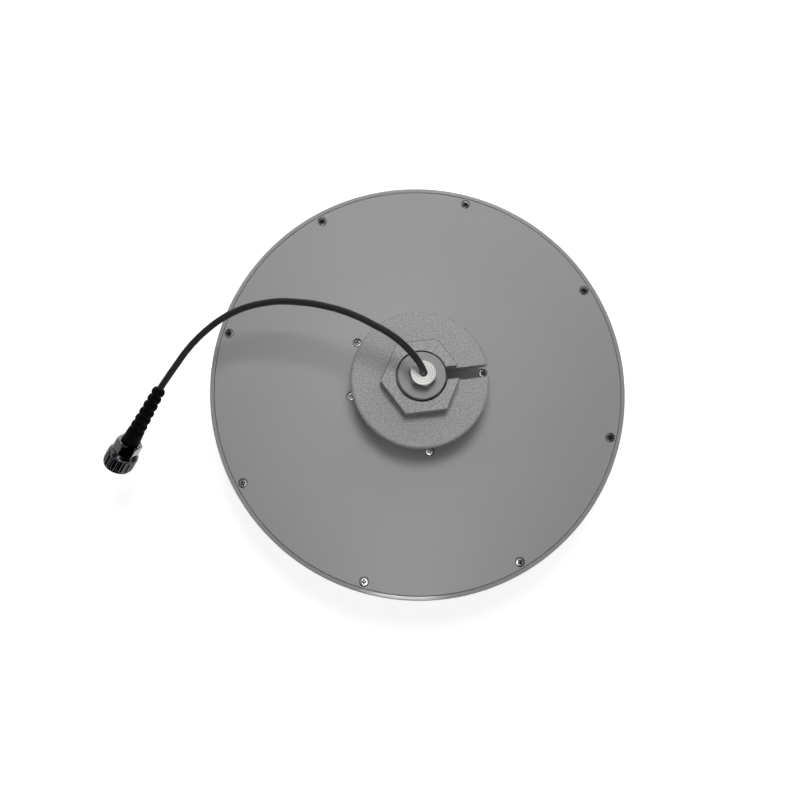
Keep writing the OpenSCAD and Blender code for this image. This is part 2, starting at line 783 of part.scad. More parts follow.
radome();
rim_gasket();
back_plate();
rim_screws();
hub_screws();
ground_screw();
ground_nut();
mounting_nut();
ground_plane();
support_posts();
post_screws();
radiator();
shorting_strap();
strap_rivet();
feed_body();
feed_insulator();
feed_pin();
inner_coax();
gland_ring();
gland_seal();
gland_nut();
coax_cable();
strain_boot();
crimp_ferrule();
plug_body();
snap_ring();
coupling_nut();
plug_insulator();
centre_pin();
plug_gasket();
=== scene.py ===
"""Looks of the ceiling antenna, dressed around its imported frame.

Sizes in the classes are millimetres, as on a drawing, and the studio's are metres. Meshes are in metres, in
the frame's own axes: +Z points up along the stud, and the origin is on the ceiling face of the back plate.
"""
import logging
import math
from collections.abc import Callable, Iterable, Sequence
from dataclasses import dataclass
from enum import Enum
from typing import Any

import bmesh
import bpy
from mathutils import Matrix, Quaternion, Vector


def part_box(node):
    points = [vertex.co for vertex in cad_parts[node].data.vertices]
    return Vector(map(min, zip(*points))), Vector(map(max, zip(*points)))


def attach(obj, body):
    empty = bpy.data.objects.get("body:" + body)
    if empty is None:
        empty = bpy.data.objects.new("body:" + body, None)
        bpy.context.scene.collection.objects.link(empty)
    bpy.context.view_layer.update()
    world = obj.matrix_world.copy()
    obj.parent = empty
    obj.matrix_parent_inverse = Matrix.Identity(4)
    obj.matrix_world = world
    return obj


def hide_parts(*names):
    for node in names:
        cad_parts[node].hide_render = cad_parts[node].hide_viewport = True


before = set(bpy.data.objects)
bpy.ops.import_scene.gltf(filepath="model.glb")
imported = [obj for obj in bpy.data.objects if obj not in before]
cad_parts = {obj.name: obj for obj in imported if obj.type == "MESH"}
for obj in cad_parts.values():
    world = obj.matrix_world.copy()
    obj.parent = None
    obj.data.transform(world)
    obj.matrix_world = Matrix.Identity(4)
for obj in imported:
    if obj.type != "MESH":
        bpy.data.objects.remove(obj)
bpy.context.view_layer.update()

LOG = logging.getLogger("antenna")

# Metres in a millimetre, and how many millimetres a tool reaches past what it cuts
MM = 0.001
OVER = 1.0
# Metres within which points are one: on a shape, at a plane's cut and along a thread
MERGE = 1e-6
CUT_MERGE = MERGE / 10
THREAD_MERGE = MERGE * 10
# Steps in a full turn and in a rounded corner, and the degrees from which an edge stays crisp
ROUND_STEPS = 128
ARC_STEPS = 5
HARD_EDGE = 32.0
HEX_SIDES = 6
# The sRGB curve
SRGB_FOOT = 0.04045
SRGB_SLOPE = 12.92
SRGB_OFFSET = 0.055
SRGB_POWER = 2.4
# Sockets of a Mix node that mixes colours
MIX_A = 6
MIX_B = 7
MIX_RESULT = 2
# Most values of a noise texture lie between these two
NOISE_LOW = 0.3
NOISE_HIGH = 0.7
# A wave texture of scale one draws this number / 2 pi rings in a metre
WAVE_STEP = 20

Corner = tuple[float, float, float]
Point = tuple[float, float, float]
Colour = tuple[float, float, float, float]


class Body(Enum):
    """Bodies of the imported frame."""

    ANTENNA = "antenna"
    NUT = "nut"
    COUPLING = "coupling"


class Slot(Enum):
    """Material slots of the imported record."""

    GREY_PLASTIC = "grey_plastic"
    STIPPLED_PLASTIC = "stippled_plastic"
    SCREW_STEEL = "screw_steel"
    TURNED_NICKEL = "turned_nickel"
    CHROME_PLATE = "chrome_plate"
    BLACK_RUBBER = "black_rubber"
    CABLE_JACKET = "cable_jacket"


class Combine(Enum):
    """Ways to put two solids together."""

    JOIN = "UNION"
    CUT = "DIFFERENCE"
    KEEP_COMMON = "INTERSECT"


# Colour and shader nodes


def linear(code: str, gain: float = 1.0) -> Colour:
    """Turn an sRGB hex colour into a linear one.

    Args:
        code: The colour, written as "#rrggbb".
        gain: A factor on the linear value, for a lighter or darker shade.

    Returns:
        Red, green, blue and an alpha of one.
    """
    parts = [int(code[i : i + 2], 16) / 255 for i in (1, 3, 5)]
    curved = [((c + SRGB_OFFSET) / (1 + SRGB_OFFSET)) ** SRGB_POWER for c in parts]
    made = [gain * (c / SRGB_SLOPE if c <= SRGB_FOOT else high) for c, high in zip(parts, curved)]
    return made[0], made[1], made[2], 1.0


def shades(code: str, spread: float) -> dict[int, Colour]:
    """Give a darker and a lighter shade of a colour, by the Mix sockets that take them."""
    return {MIX_A: linear(code, 1 - spread), MIX_B: linear(code, 1 + spread)}


def per_metre(size_mm: float) -> float:
    """Give a texture's scale for a feature of a size in millimetres."""
    return 1 / (size_mm * MM)


def add(tree: bpy.types.NodeTree, kind: str, inputs: dict | None = None, **options: Any) -> bpy.types.Node:
    """Add a shader node, set its options, and set or link its inputs.

    Args:
        tree: The node tree to add to.
        kind: The node's type, without its ShaderNode prefix.
        inputs: Values or output sockets, by the name or number of the input.
        options: Properties of the node itself.

    Returns:
        The new node.
    """
    node = tree.nodes.new("ShaderNode" + kind)
    for name, value in options.items():
        setattr(node, name, value)
    for name, value in (inputs or {}).items():
        if isinstance(value, bpy.types.NodeSocket):
            tree.links.new(value, node.inputs[name])
        else:
            node.inputs[name].default_value = value
    return node


class Finish:
    """A surface finish, which makes its material once."""

    name: str

    def material(self) -> bpy.types.Material:
        """Give the material of this finish, made at the first call.

        Returns:
            The material.
        """
        found = bpy.data.materials.get(self.name)
        if found:
            return found
        made = bpy.data.materials.new(self.name)
        made.use_nodes = True
        made.node_tree.nodes.clear()
        shader = self.wire(made.node_tree)
        add(made.node_tree, "OutputMaterial", {"Surface": shader.outputs[0]})
        return made

    def wire(self, tree: bpy.types.NodeTree) -> bpy.types.Node:
        """Add the nodes of this finish.

        Args:
            tree: The material's empty node tree.

        Returns:
            The shader node.
        """
        raise NotImplementedError


@dataclass(frozen=True)
class SatinMoulding(Finish):
    """Plastic from a polished mould: satin, with a faint orange peel and slow shifts of tone."""

    name: str = "abs_grey_satin_moulded"
    colour: str = "#969696"
    roughness: float = 0.35
    peel_mm: float = 0.9
    peel_height_mm: float = 0.006
    tone_mm: float = 55.0
    tone_range: float = 0.03
    gloss_range: float = 0.05
    tone_detail: float = 4.0
    peel_detail: float = 2.0

    def wire(self, tree: bpy.types.NodeTree) -> bpy.types.Node:
        """Add the nodes of this finish.

        Args:
            tree: The material's empty node tree.

        Returns:
            The shader node.
        """
        place = add(tree, "TexCoord").outputs["Object"]
        tone = add(tree, "TexNoise", {
            "Vector": place, "Scale": per_metre(self.tone_mm), "Detail": self.tone_detail,
        })
        shade = add(tree, "Mix", {
            "Factor": tone.outputs["Fac"], **shades(self.colour, self.tone_range),
        }, data_type="RGBA")
        rough = add(tree, "MapRange", {
            "Value": tone.outputs["Fac"],
            "To Min": self.roughness - self.gloss_range, "To Max": self.roughness + self.gloss_range,
        })
        peel = add(tree, "TexNoise", {
            "Vector": place, "Scale": per_metre(self.peel_mm), "Detail": self.peel_detail,
        })
        bump = add(tree, "Bump", {
            "Height": peel.outputs["Fac"], "Strength": 1.0, "Distance": self.peel_height_mm * MM,
        })
        return add(tree, "BsdfPrincipled", {
            "Base Color": shade.outputs[MIX_RESULT],
            "Roughness": rough.outputs["Result"],
            "Normal": bump.outputs["Normal"],
        })


@dataclass(frozen=True)
class SparkStipple(Finish):
    """Grey ABS from a spark-eroded mould: a coarse stipple whose bumps catch the light one by one, with its
    colour lighter on the bumps' tops as painted glints.
    """

    name: str = "abs_grey_spark_stippled"
    colour: str = "#929292"
    roughness: float = 0.36
    grain_mm: float = 0.9
    grain_height_mm: float = 0.26
    tone_and_glint_range: float = 0.5
    grain_detail: float = 4.0
    grain_sharpness: float = 0.7

    def wire(self, tree: bpy.types.NodeTree) -> bpy.types.Node:
        """Add the nodes of this finish.

        Args:
            tree: The material's empty node tree.

        Returns:
            The shader node.
        """
        place = add(tree, "TexCoord").outputs["Object"]
        grain = add(tree, "TexNoise", {
            "Vector": place, "Scale": per_metre(self.grain_mm),
            "Detail": self.grain_detail, "Roughness": self.grain_sharpness,
        })
        # The grain's tone runs lighter on the bumps' tops: partly grain, partly painted glints
        speck = add(tree, "MapRange", {
            "Value": grain.outputs["Fac"], "From Min": NOISE_LOW, "From Max": NOISE_HIGH,
        })
        shade = add(tree, "Mix", {
            "Factor": speck.outputs["Result"], **shades(self.colour, self.tone_and_glint_range),
        }, data_type="RGBA")
        bump = add(tree, "Bump", {
            "Height": grain.outputs["Fac"], "Strength": 1.0, "Distance": self.grain_height_mm * MM,
        })
        return add(tree, "BsdfPrincipled", {
            "Base Color": shade.outputs[MIX_RESULT],
            "Roughness": self.roughness,
            "Normal": bump.outputs["Normal"],
        })


@dataclass(frozen=True)
class TurnedFace(Finish):
    """A face cut on a lathe: rings about the stud's axis, drawn as coarse as they need to show."""

    name: str
    colour: str
    metallic: float
    roughness: float
    ring_mm: float
    ring_height_mm: float
    tone_range: float
    waver: float = 3.2
    detail: float = 4.0

    def wire(self, tree: bpy.types.NodeTree) -> bpy.types.Node:
        """Add the nodes of this finish.

        Args:
            tree: The material's empty node tree.

        Returns:
            The shader node.
        """
        place = add(tree, "TexCoord").outputs["Object"]
        ring_scale = per_metre(self.ring_mm) * 2 * math.pi / WAVE_STEP
        rings = add(tree, "TexWave", {
            "Vector": place, "Scale": ring_scale, "Distortion": self.waver, "Detail": self.detail,
        }, wave_type="RINGS", rings_direction="Z")
        shade = add(tree, "Mix", {
            "Factor": rings.outputs["Fac"], **shades(self.colour, self.tone_range),
        }, data_type="RGBA")
        bump = add(tree, "Bump", {
            "Height": rings.outputs["Fac"], "Strength": 1.0, "Distance": self.ring_height_mm * MM,
        })
        return add(tree, "BsdfPrincipled", {
            "Base Color": shade.outputs[MIX_RESULT],
            "Metallic": self.metallic,
            "Roughness": self.roughness,
            "Normal": bump.outputs["Normal"],
        })


@dataclass(frozen=True)
class PlatedMetal(Finish):
    """Plated or rolled metal: bright, with faint clouds of haze on it."""

    name: str
    colour: str
    roughness: float
    haze: float
    haze_mm: float
    haze_detail: float = 4.0

    def wire(self, tree: bpy.types.NodeTree) -> bpy.types.Node:
        """Add the nodes of this finish.

        Args:
            tree: The material's empty node tree.

        Returns:
            The shader node.
        """
        place = add(tree, "TexCoord").outputs["Object"]
        cloud = add(tree, "TexNoise", {
            "Vector": place, "Scale": per_metre(self.haze_mm), "Detail": self.haze_detail,
        })
        rough = add(tree, "MapRange", {
            "Value": cloud.outputs["Fac"], "From Min": NOISE_LOW, "From Max": NOISE_HIGH,
            "To Min": self.roughness, "To Max": self.roughness + self.haze,
        })
        return add(tree, "BsdfPrincipled", {
            "Base Color": linear(self.colour),
            "Metallic": 1.0,
            "Roughness": rough.outputs["Result"],
        })


@dataclass(frozen=True)
class SoftBlack(Finish):
    """Black rubber or PVC: matt, with a fine grain and a slow change of gloss."""

    name: str
    colour: str
    roughness: float
    gloss: float
    grain_mm: float
    grain_height_mm: float
    gloss_range: float = 0.08
    grains_in_cloud: float = 20.0
    grain_detail: float = 2.0
    cloud_detail: float = 3.0

    def wire(self, tree: bpy.types.NodeTree) -> bpy.types.Node:
        """Add the nodes of this finish.

        Args:
            tree: The material's empty node tree.

        Returns:
            The shader node.
        """
        place = add(tree, "TexCoord").outputs["Object"]
        grain = add(tree, "TexNoise", {
            "Vector": place, "Scale": per_metre(self.grain_mm), "Detail": self.grain_detail,
        })
        cloud = add(tree, "TexNoise", {
            "Vector": place, "Scale": per_metre(self.grains_in_cloud * self.grain_mm),
            "Detail": self.cloud_detail,
        })
        rough = add(tree, "MapRange", {
            "Value": cloud.outputs["Fac"],
            "To Min": self.roughness - self.gloss_range, "To Max": self.roughness + self.gloss_range,
        })
        bump = add(tree, "Bump", {
            "Height": grain.outputs["Fac"], "Strength": 1.0, "Distance": self.grain_height_mm * MM,
        })
        return add(tree, "BsdfPrincipled", {
            "Base Color": linear(self.colour),
            "Roughness": rough.outputs["Result"],
            "Specular IOR Level": self.gloss,
            "Normal": bump.outputs["Normal"],
        })


# Disc and dome: an even mid grey with a soft sheen
GREY_ABS = SatinMoulding()
# Lip of the rim: the same grey, polished, so that it draws a thin light line
LIP_ABS = SatinMoulding("abs_grey_gloss_moulded", "#969696", 0.14)
# Mounting nut: a grey stipple whose fine specks of tone are lighter on the bumps' tops, partly grain and
# partly painted glints
STIPPLED_ABS = SparkStipple()
# Chamfers of the nut's hexagon: matt, with no stipple, and a darker grey that paints shade lines along the
# hexagon's top edges
EDGE_ABS_PAINTED_SHADE = SatinMoulding("abs_grey_edge_painted_shade", "#5e5e5e", 0.5)
# End of the stud: faint rings in a dull grey
FACED_ABS = TurnedFace("abs_grey_faced", "#848484", 0.0, 0.45, 1.1, 0.006, 0.025)
# Gland nut's top and its sides: bright turned rings, and on the sides the same nickel painted darker as
# painted shade
NICKEL = TurnedFace("nickel_plate_turned", "#c8c8c6", 1.0, 0.28, 1.5, 0.035, 0.2)
SIDE_NICKEL_PAINTED_SHADE = PlatedMetal("nickel_plate_sides_painted_shade", "#90908e", 0.28, 0.12, 2.0)
# Screws: pale heads that mirror the room, and cross recesses painted near black as painted shade
ZINC = PlatedMetal("steel_zinc_plated", "#b0b0ae", 0.15, 0.08, 1.5)
RECESS_PAINTED_SHADE = PlatedMetal("steel_recess_painted_shade", "#161616", 0.5, 0.1, 1.5)
# Plug: sharp dark mirrors on the flats, and in the collar and grip the same chrome painted darker as
# painted shade
CHROME = PlatedMetal("brass_dark_chrome_plated", "#7c7c7f", 0.06, 0.05, 4.0)
GRIP_CHROME_PAINTED_SHADE = PlatedMetal("brass_dark_chrome_grip_painted_shade", "#505053", 0.08, 0.05, 4.0)
# Pieces inside: soft yellow and white metal from the roll
GOLD_BRASS = PlatedMetal("brass_sheet_rolled", "#c8a75a", 0.28, 0.12, 6.0)
ALUMINIUM = PlatedMetal("aluminium_sheet_mill", "#d4d5d6", 0.32, 0.12, 8.0)
# Boot and cable: deep matt black, and a black with a dull gloss
RUBBER = SoftBlack("rubber_black_moulded", "#030303", 0.62, 0.07, 0.4, 0.012)
JACKET = SoftBlack("pvc_black_extruded", "#111111", 0.48, 0.32, 0.5, 0.006)
# Insulators: a warm white
NYLON = SatinMoulding("nylon_white_turned", "#e4e2dc", 0.45, 0.7, 0.006, 20.0, 0.02)


# Mesh making


def spun(corners: Sequence[Corner], steps: int = ROUND_STEPS, arc: int = ARC_STEPS) -> bmesh.types.BMesh:
    """Spin an outline about Z into a closed solid.

    Args:
        corners: Radius, height and rounding of each corner. The outline starts and ends on the axis,
            or else it is closed from its last corner to its first.
        steps: Steps in a full turn.
        arc: Steps in each rounded corner.

    Returns:
        The solid.
    """
    bm = bmesh.new()
    verts = [bm.verts.new((r * MM, 0, z * MM)) for r, z, _ in corners]
    for pair in zip(verts, verts[1:]):
        bm.edges.new(pair)
    if corners[0][0] or corners[-1][0]:
        bm.edges.new((verts[-1], verts[0]))
    for vert, (_, _, cut) in zip(verts, corners):
        if cut:
            bmesh.ops.bevel(
                bm, geom=[vert], offset=cut * MM, offset_type="OFFSET", affect="VERTICES",
                segments=arc, profile=0.5, material=-1,
            )
    bmesh.ops.spin(
        bm, geom=bm.verts[:] + bm.edges[:], axis=(0, 0, 1), cent=(0, 0, 0),
        angle=2 * math.pi, steps=steps, use_merge=True,
    )
    return closed(bm)


def closed(bm: bmesh.types.BMesh) -> bmesh.types.BMesh:
    """Merge a shape's doubles and turn its faces outwards.

    Args:
        bm: The shape.

    Returns:
        The same shape.
    """
    bmesh.ops.remove_doubles(bm, verts=bm.verts, dist=MERGE)
    bmesh.ops.recalc_face_normals(bm, faces=bm.faces)
    return bm


def cylinder(radius: float, low: float, high: float, steps: int = ROUND_STEPS) -> bmesh.types.BMesh:
    """Make a plain cylinder about Z, between two heights."""
    return spun([(0, low, 0), (radius, low, 0), (radius, high, 0), (0, high, 0)], steps)


def block(x: float, y: float, z: float) -> bmesh.types.BMesh:
    """Make a block of three lengths about the origin.

    Args:
        x: Length along X.
        y: Length along Y.
        z: Length along Z.

    Returns:
        The block.
    """
    bm = bmesh.new()
    bmesh.ops.create_cube(bm, size=1)
    bmesh.ops.scale(bm, vec=Vector((x, y, z)) * MM, verts=bm.verts)
    return bm


def flared(radius: float, top: float, edge: float) -> list[Corner]:
    """Give the last corners of a hole's tool, which chamfer the mouth of the hole."""
    return [(radius, top - edge, 0), (radius + 2 * edge, top + edge, 0), (0, top + edge, 0)]


def trimmed(bm: bmesh.types.BMesh, point: Vector, normal: Vector) -> bmesh.types.BMesh:
    """Cut a solid by a plane, drop what lies past it and close the cut.

    Args:
        bm: The solid.
        point: A point on the plane, in millimetres.
        normal: The plane's normal, towards what is dropped.

    Returns:
        The same solid.
    """
    cut = bmesh.ops.bisect_plane(
        bm, geom=bm.verts[:] + bm.edges[:] + bm.faces[:], dist=CUT_MERGE,
        plane_co=point * MM, plane_no=normal, clear_outer=True,
    )
    edges = [part for part in cut["geom_cut"] if isinstance(part, bmesh.types.BMEdge)]
    bmesh.ops.edgeloop_fill(bm, edges=edges)
    return bm


def hexagon(
    across_flats: float, height: float, top_r: float, cone_deg: float, turn: float, edge: float = 0.0,
) -> bmesh.types.BMesh:
    """Make a hexagonal prism whose top corners a cone cuts back, standing on z = 0.

    Args:
        across_flats: Distance between two flats.
        height: Height of the prism.
        top_r: Radius at which the cone meets the top.
        cone_deg: Slope of the cone.
        turn: Direction of one corner, in degrees.
        edge: How far the chamfers along the top and the corners reach in, or none.

    Returns:
        The prism.
    """
    flat_r = across_flats / 2
    corner_r = flat_r / math.cos(math.pi / HEX_SIDES)
    out_r = corner_r + OVER / 2
    drop = (out_r - top_r) * math.tan(math.radians(cone_deg))
    bm = spun([(0, 0, 0), (out_r, 0, 0), (out_r, height - drop, 0), (top_r, height, 0), (0, height, 0)])
    up = Vector((0, 0, 1))
    for side in range(HEX_SIDES):
        corner_aim = math.radians(turn) + side * 2 * math.pi / HEX_SIDES
        corner = Vector((math.cos(corner_aim), math.sin(corner_aim), 0))
        flat_aim = corner_aim + math.pi / HEX_SIDES
        flat = Vector((math.cos(flat_aim), math.sin(flat_aim), 0))
        trimmed(bm, flat * flat_r, flat)
        if edge:
            trimmed(bm, flat * (flat_r - edge) + up * height, flat + up)
            trimmed(bm, corner * (corner_r - edge / 2), corner)
    return closed(bm)


def threaded(major_r: float, depth: float, pitch: float, low: float, high: float) -> bmesh.types.BMesh:
    """Make a rod with a right-hand thread, cut square at both ends.

    Args:
        major_r: Radius over the crests.
        depth: Depth of the thread.
        pitch: Rise of one turn.
        low: Height of the lower end.
        high: Height of the upper end.

    Returns:
        The rod.
    """
    # Crest and root as shares of the pitch, then the turns to spare: below the lower end, and in all
    crest, root = 0.12, 0.25
    spare_below, spare_turns = 1.5, 2
    flank = (1 - crest - root) / 2
    marks = [(0, 0), (flank, depth), (flank + root, depth), (1 - crest, 0), (1, 0)]
    turns = math.ceil((high - low) / pitch) + spare_turns
    steps = ROUND_STEPS // 2
    bm = bmesh.new()
    verts = []
    for share, cut in marks:
        height = low + (share - spare_below) * pitch
        verts.append(bm.verts.new(((major_r - cut) * MM, 0, height * MM)))
    for pair in zip(verts, verts[1:]):
        bm.edges.new(pair)
    bmesh.ops.spin(
        bm, geom=bm.verts[:] + bm.edges[:], axis=(0, 0, 1), cent=(0, 0, 0), dvec=(0, 0, pitch * MM / steps),
        angle=2 * math.pi * turns, steps=steps * turns, use_merge=False,
    )
    bmesh.ops.remove_doubles(bm, verts=bm.verts, dist=THREAD_MERGE)
    trimmed(bm, Vector((0, 0, low)), Vector((0, 0, -1)))
    trimmed(bm, Vector((0, 0, high)), Vector((0, 0, 1)))
    return closed(bm)


def repeated(bm: bmesh.types.BMesh, places: Iterable[Matrix]) -> bmesh.types.BMesh:
    """Copy a shape to several places and drop the first one.

    Args:
        bm: The shape.
        places: Where its copies go, in metres.

    Returns:
        The same shape, now all its copies.
    """
    first = bm.verts[:] + bm.edges[:] + bm.faces[:]
    for place in places:
        made = bmesh.ops.duplicate(bm, geom=first)["geom"]
        verts = [part for part in made if isinstance(part, bmesh.types.BMVert)]
        bmesh.ops.transform(bm, matrix=place, verts=verts)
    old = [part for part in first if isinstance(part, bmesh.types.BMVert)]
    bmesh.ops.delete(bm, geom=old, context="VERTS")
    return bm


def moved(bm: bmesh.types.BMesh, place: Matrix) -> bmesh.types.BMesh:
    """Move a shape by a matrix, in metres."""
    bmesh.ops.transform(bm, matrix=place, verts=bm.verts)
    return bm


def raised(height: float) -> Matrix:
    """Give the move up by a height in millimetres."""
    return Matrix.Translation((0, 0, height * MM))


def turned(degrees: float) -> Matrix:
    """Give the turn about Z by an angle in degrees."""
    return Matrix.Rotation(math.radians(degrees), 4, "Z")


def ring_of(count: int, radius: float, turn: float, height: float = 0.0) -> list[Matrix]:
    """Give evenly spaced places on a circle about Z.

    Args:
        count: Number of places.
        radius: Radius of the circle.
        turn: Direction of the first place, in degrees.
        height: Height of the circle.

    Returns:
        The places, each turned to face outwards.
    """
    out = Matrix.Translation((radius * MM, 0, height * MM))
    angles = [math.radians(turn) + 2 * math.pi * i / count for i in range(count)]
    return [Matrix.Rotation(angle, 4, "Z") @ out for angle in angles]


def solid(name: str, bm: bmesh.types.BMesh) -> bpy.types.Object:
    """Make an object from a shape, at the origin.

    Args:
        name: The object's name.
        bm: The shape, used up here.

    Returns:
        The object.
    """
    mesh = bpy.data.meshes.new(name)
    bm.to_mesh(mesh)
    bm.free()
    made = bpy.data.objects.new(name, mesh)
    bpy.context.scene.collection.objects.link(made)
    return made


def combine(target: bpy.types.Object, how: Combine, tool: bmesh.types.BMesh) -> None:
    """Join a solid with another, or cut it by the other.

    Args:
        target: The object to change.
        how: What becomes of the two.
        tool: The other solid, used up here.
    """
    other = solid("tool", tool)
    step = target.modifiers.new("combine", "BOOLEAN")
    step.operation = how.value
    step.solver = "EXACT"
    step.object = other
    ready = target.evaluated_get(bpy.context.evaluated_depsgraph_get())
    made = bpy.data.meshes.new_from_object(ready)
    made.name = target.name
    target.modifiers.clear()
    old, target.data = target.data, made
    bpy.data.meshes.remove(old)
    bpy.data.meshes.remove(other.data)


def mark(piece: bpy.types.Object, wanted: Callable[[bpy.types.MeshPolygon], bool]) -> None:
    """Set apart the faces that get a piece's second finish.

    Args:
        piece: The piece, before it is dressed.
        wanted: Tells whether a face gets the second finish.
    """
    for face in piece.data.polygons:
        if wanted(face):
            face.material_index = 1


def publish(
    piece: bpy.types.Object, finish: Finish, body: Body, slot: Slot, *nodes: str,
    second: Finish | None = None, hard: float = HARD_EDGE,
) -> bpy.types.Object:
    """Shade and dress a finished piece, and hang it on its body.

    Args:
        piece: The piece, a mesh or a curve.
        finish: Its main finish.
        body: The body that it moves with.
        slot: Not used.
        nodes: The solids that it stands for.
        second: The finish of its marked faces.
        hard: Edges that turn by more degrees than this stay crisp.

    Returns:
        The same piece.
    """
    piece.data.materials.append(finish.material())
    if second:
        piece.data.materials.append(second.material())
    if piece.type == "MESH":
        piece.data.shade_smooth()
        piece.data.set_sharp_from_angle(angle=math.radians(hard))
        even = piece.modifiers.new("even_shading", "WEIGHTED_NORMAL")
        even.keep_sharp = True
    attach(piece, body.value)
    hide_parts(*nodes)
    LOG.info("%s rides on %s", piece.name, body.value)
    return piece


def reach(node: str) -> tuple[Vector, Vector]:
    """Give the corners of a node's box in millimetres."""
    low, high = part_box(node)
    return low / MM, high / MM


# The antenna's pieces


@dataclass
class ScrewPlan:
    """Sizes that the screws share with the holes around them."""

    shank_d: float = 3.0
    head_d: float = 5.6
    head_h: float = 2.0
    sink: float = 0.3
    hole_gap: float = 0.15
    head_gap: float = 0.6
    recess_edge: float = 0.15
    rim_count: int = 8
    rim_r: float = 142.5
    rim_turn: float = 29.5
    hub_count: int = 4
    hub_r: float = 48.4
    hub_turn: float = 10.0
    ground_r: float = 53.2
    ground_turn: float = 144.5

    @property
    def seat_z(self) -> float:
        """Height of the seats of the heads."""
        return -(self.head_h + self.sink)

    @property
    def hole_r(self) -> float:
        """Radius of the holes for the shanks."""
        return self.shank_d / 2 + self.hole_gap

    def rim(self, height: float = 0.0) -> list[Matrix]:
        """Give the places of the rim screws, at a height."""
        return ring_of(self.rim_count, self.rim_r, self.rim_turn, height)

    def hub(self) -> list[Matrix]:
        """Give the places of the hub screws."""
        return ring_of(self.hub_count, self.hub_r, self.hub_turn)

    def ground(self) -> list[Matrix]:
        """Give the place of the ground screw."""
        return ring_of(1, self.ground_r, self.ground_turn)


@dataclass
class Radome:
    """Dome and rim in one moulding, with a ledge for the plate and bosses for the rim screws."""

    screws: ScrewPlan
    wall: float = 3.0
    skirt_h: float = 12.0
    fullness: float = 2.1
    lip_round: float = 0.8
    inner_edge: float = 0.15
    lip_fall: float = 0.16
    ledge_z: float = -4.0
    ledge_t: float = 3.0
    ledge_r: float = 135.4
    groove_in_r: float = 136.4
    groove_w: float = 1.6
    groove_h: float = 1.5
    boss_d: float = 7.0
    boss_low: float = -14.8
    drill_low: float = -13.3
    dome_steps: int = 40
    boss_steps: int = 32

    def oval(self, radius: float, depth: float) -> list[Corner]:
        """Give the points of a quarter of a full oval, from the skirt down to the axis.

        Args:
            radius: Radius at the skirt.
            depth: Depth of the oval.

        Returns:
            Its points, without roundings.
        """
        points = []
        for i in range(self.dome_steps):
            a = math.pi / 2 * i / self.dome_steps
            r = radius * math.cos(a) ** (2 / self.fullness)
            points.append((r, -self.skirt_h - depth * math.sin(a) ** (2 / self.fullness), 0))
        return points + [(0, -self.skirt_h - depth, 0)]

    def build(self) -> None:
        """Build and dress the radome."""
        low, high = reach("radome")
        out_r, in_r = high.x, high.x - self.wall
        depth = -low.z - self.skirt_h
        ledge_low = self.ledge_z - self.ledge_t
        inside = [
            (in_r, 0, self.inner_edge), (in_r, self.ledge_z, 0), (self.ledge_r, self.ledge_z, 0),
            (self.ledge_r, ledge_low, 0), (in_r, ledge_low, 0),
        ]
        outline = self.oval(out_r, depth)[::-1] + [(out_r, -self.lip_fall, self.lip_round)]
        outline += inside + self.oval(in_r, depth - self.wall)
        piece = solid("radome_moulding", spun(outline, steps=2 * ROUND_STEPS))
        plan = self.screws
        boss = cylinder(self.boss_d / 2, 0, self.ledge_z - self.boss_low, self.boss_steps)
        combine(piece, Combine.JOIN, repeated(boss, plan.rim(self.boss_low)))
        drill = cylinder(plan.hole_r, self.drill_low, OVER, self.boss_steps)
        combine(piece, Combine.CUT, repeated(drill, plan.rim()))
        groove_out_r = self.groove_in_r + self.groove_w
        groove_low, groove_top = self.ledge_z - self.groove_h, self.ledge_z + OVER
        combine(piece, Combine.CUT, spun([
            (self.groove_in_r, groove_low, 0), (groove_out_r, groove_low, 0),
            (groove_out_r, groove_top, 0), (self.groove_in_r, groove_top, 0),
        ]))
        mark(piece, lambda face: face.center.z > -self.lip_round * MM)
        publish(piece, GREY_ABS, Body.ANTENNA, Slot.GREY_PLASTIC, "radome", second=LIP_ABS)


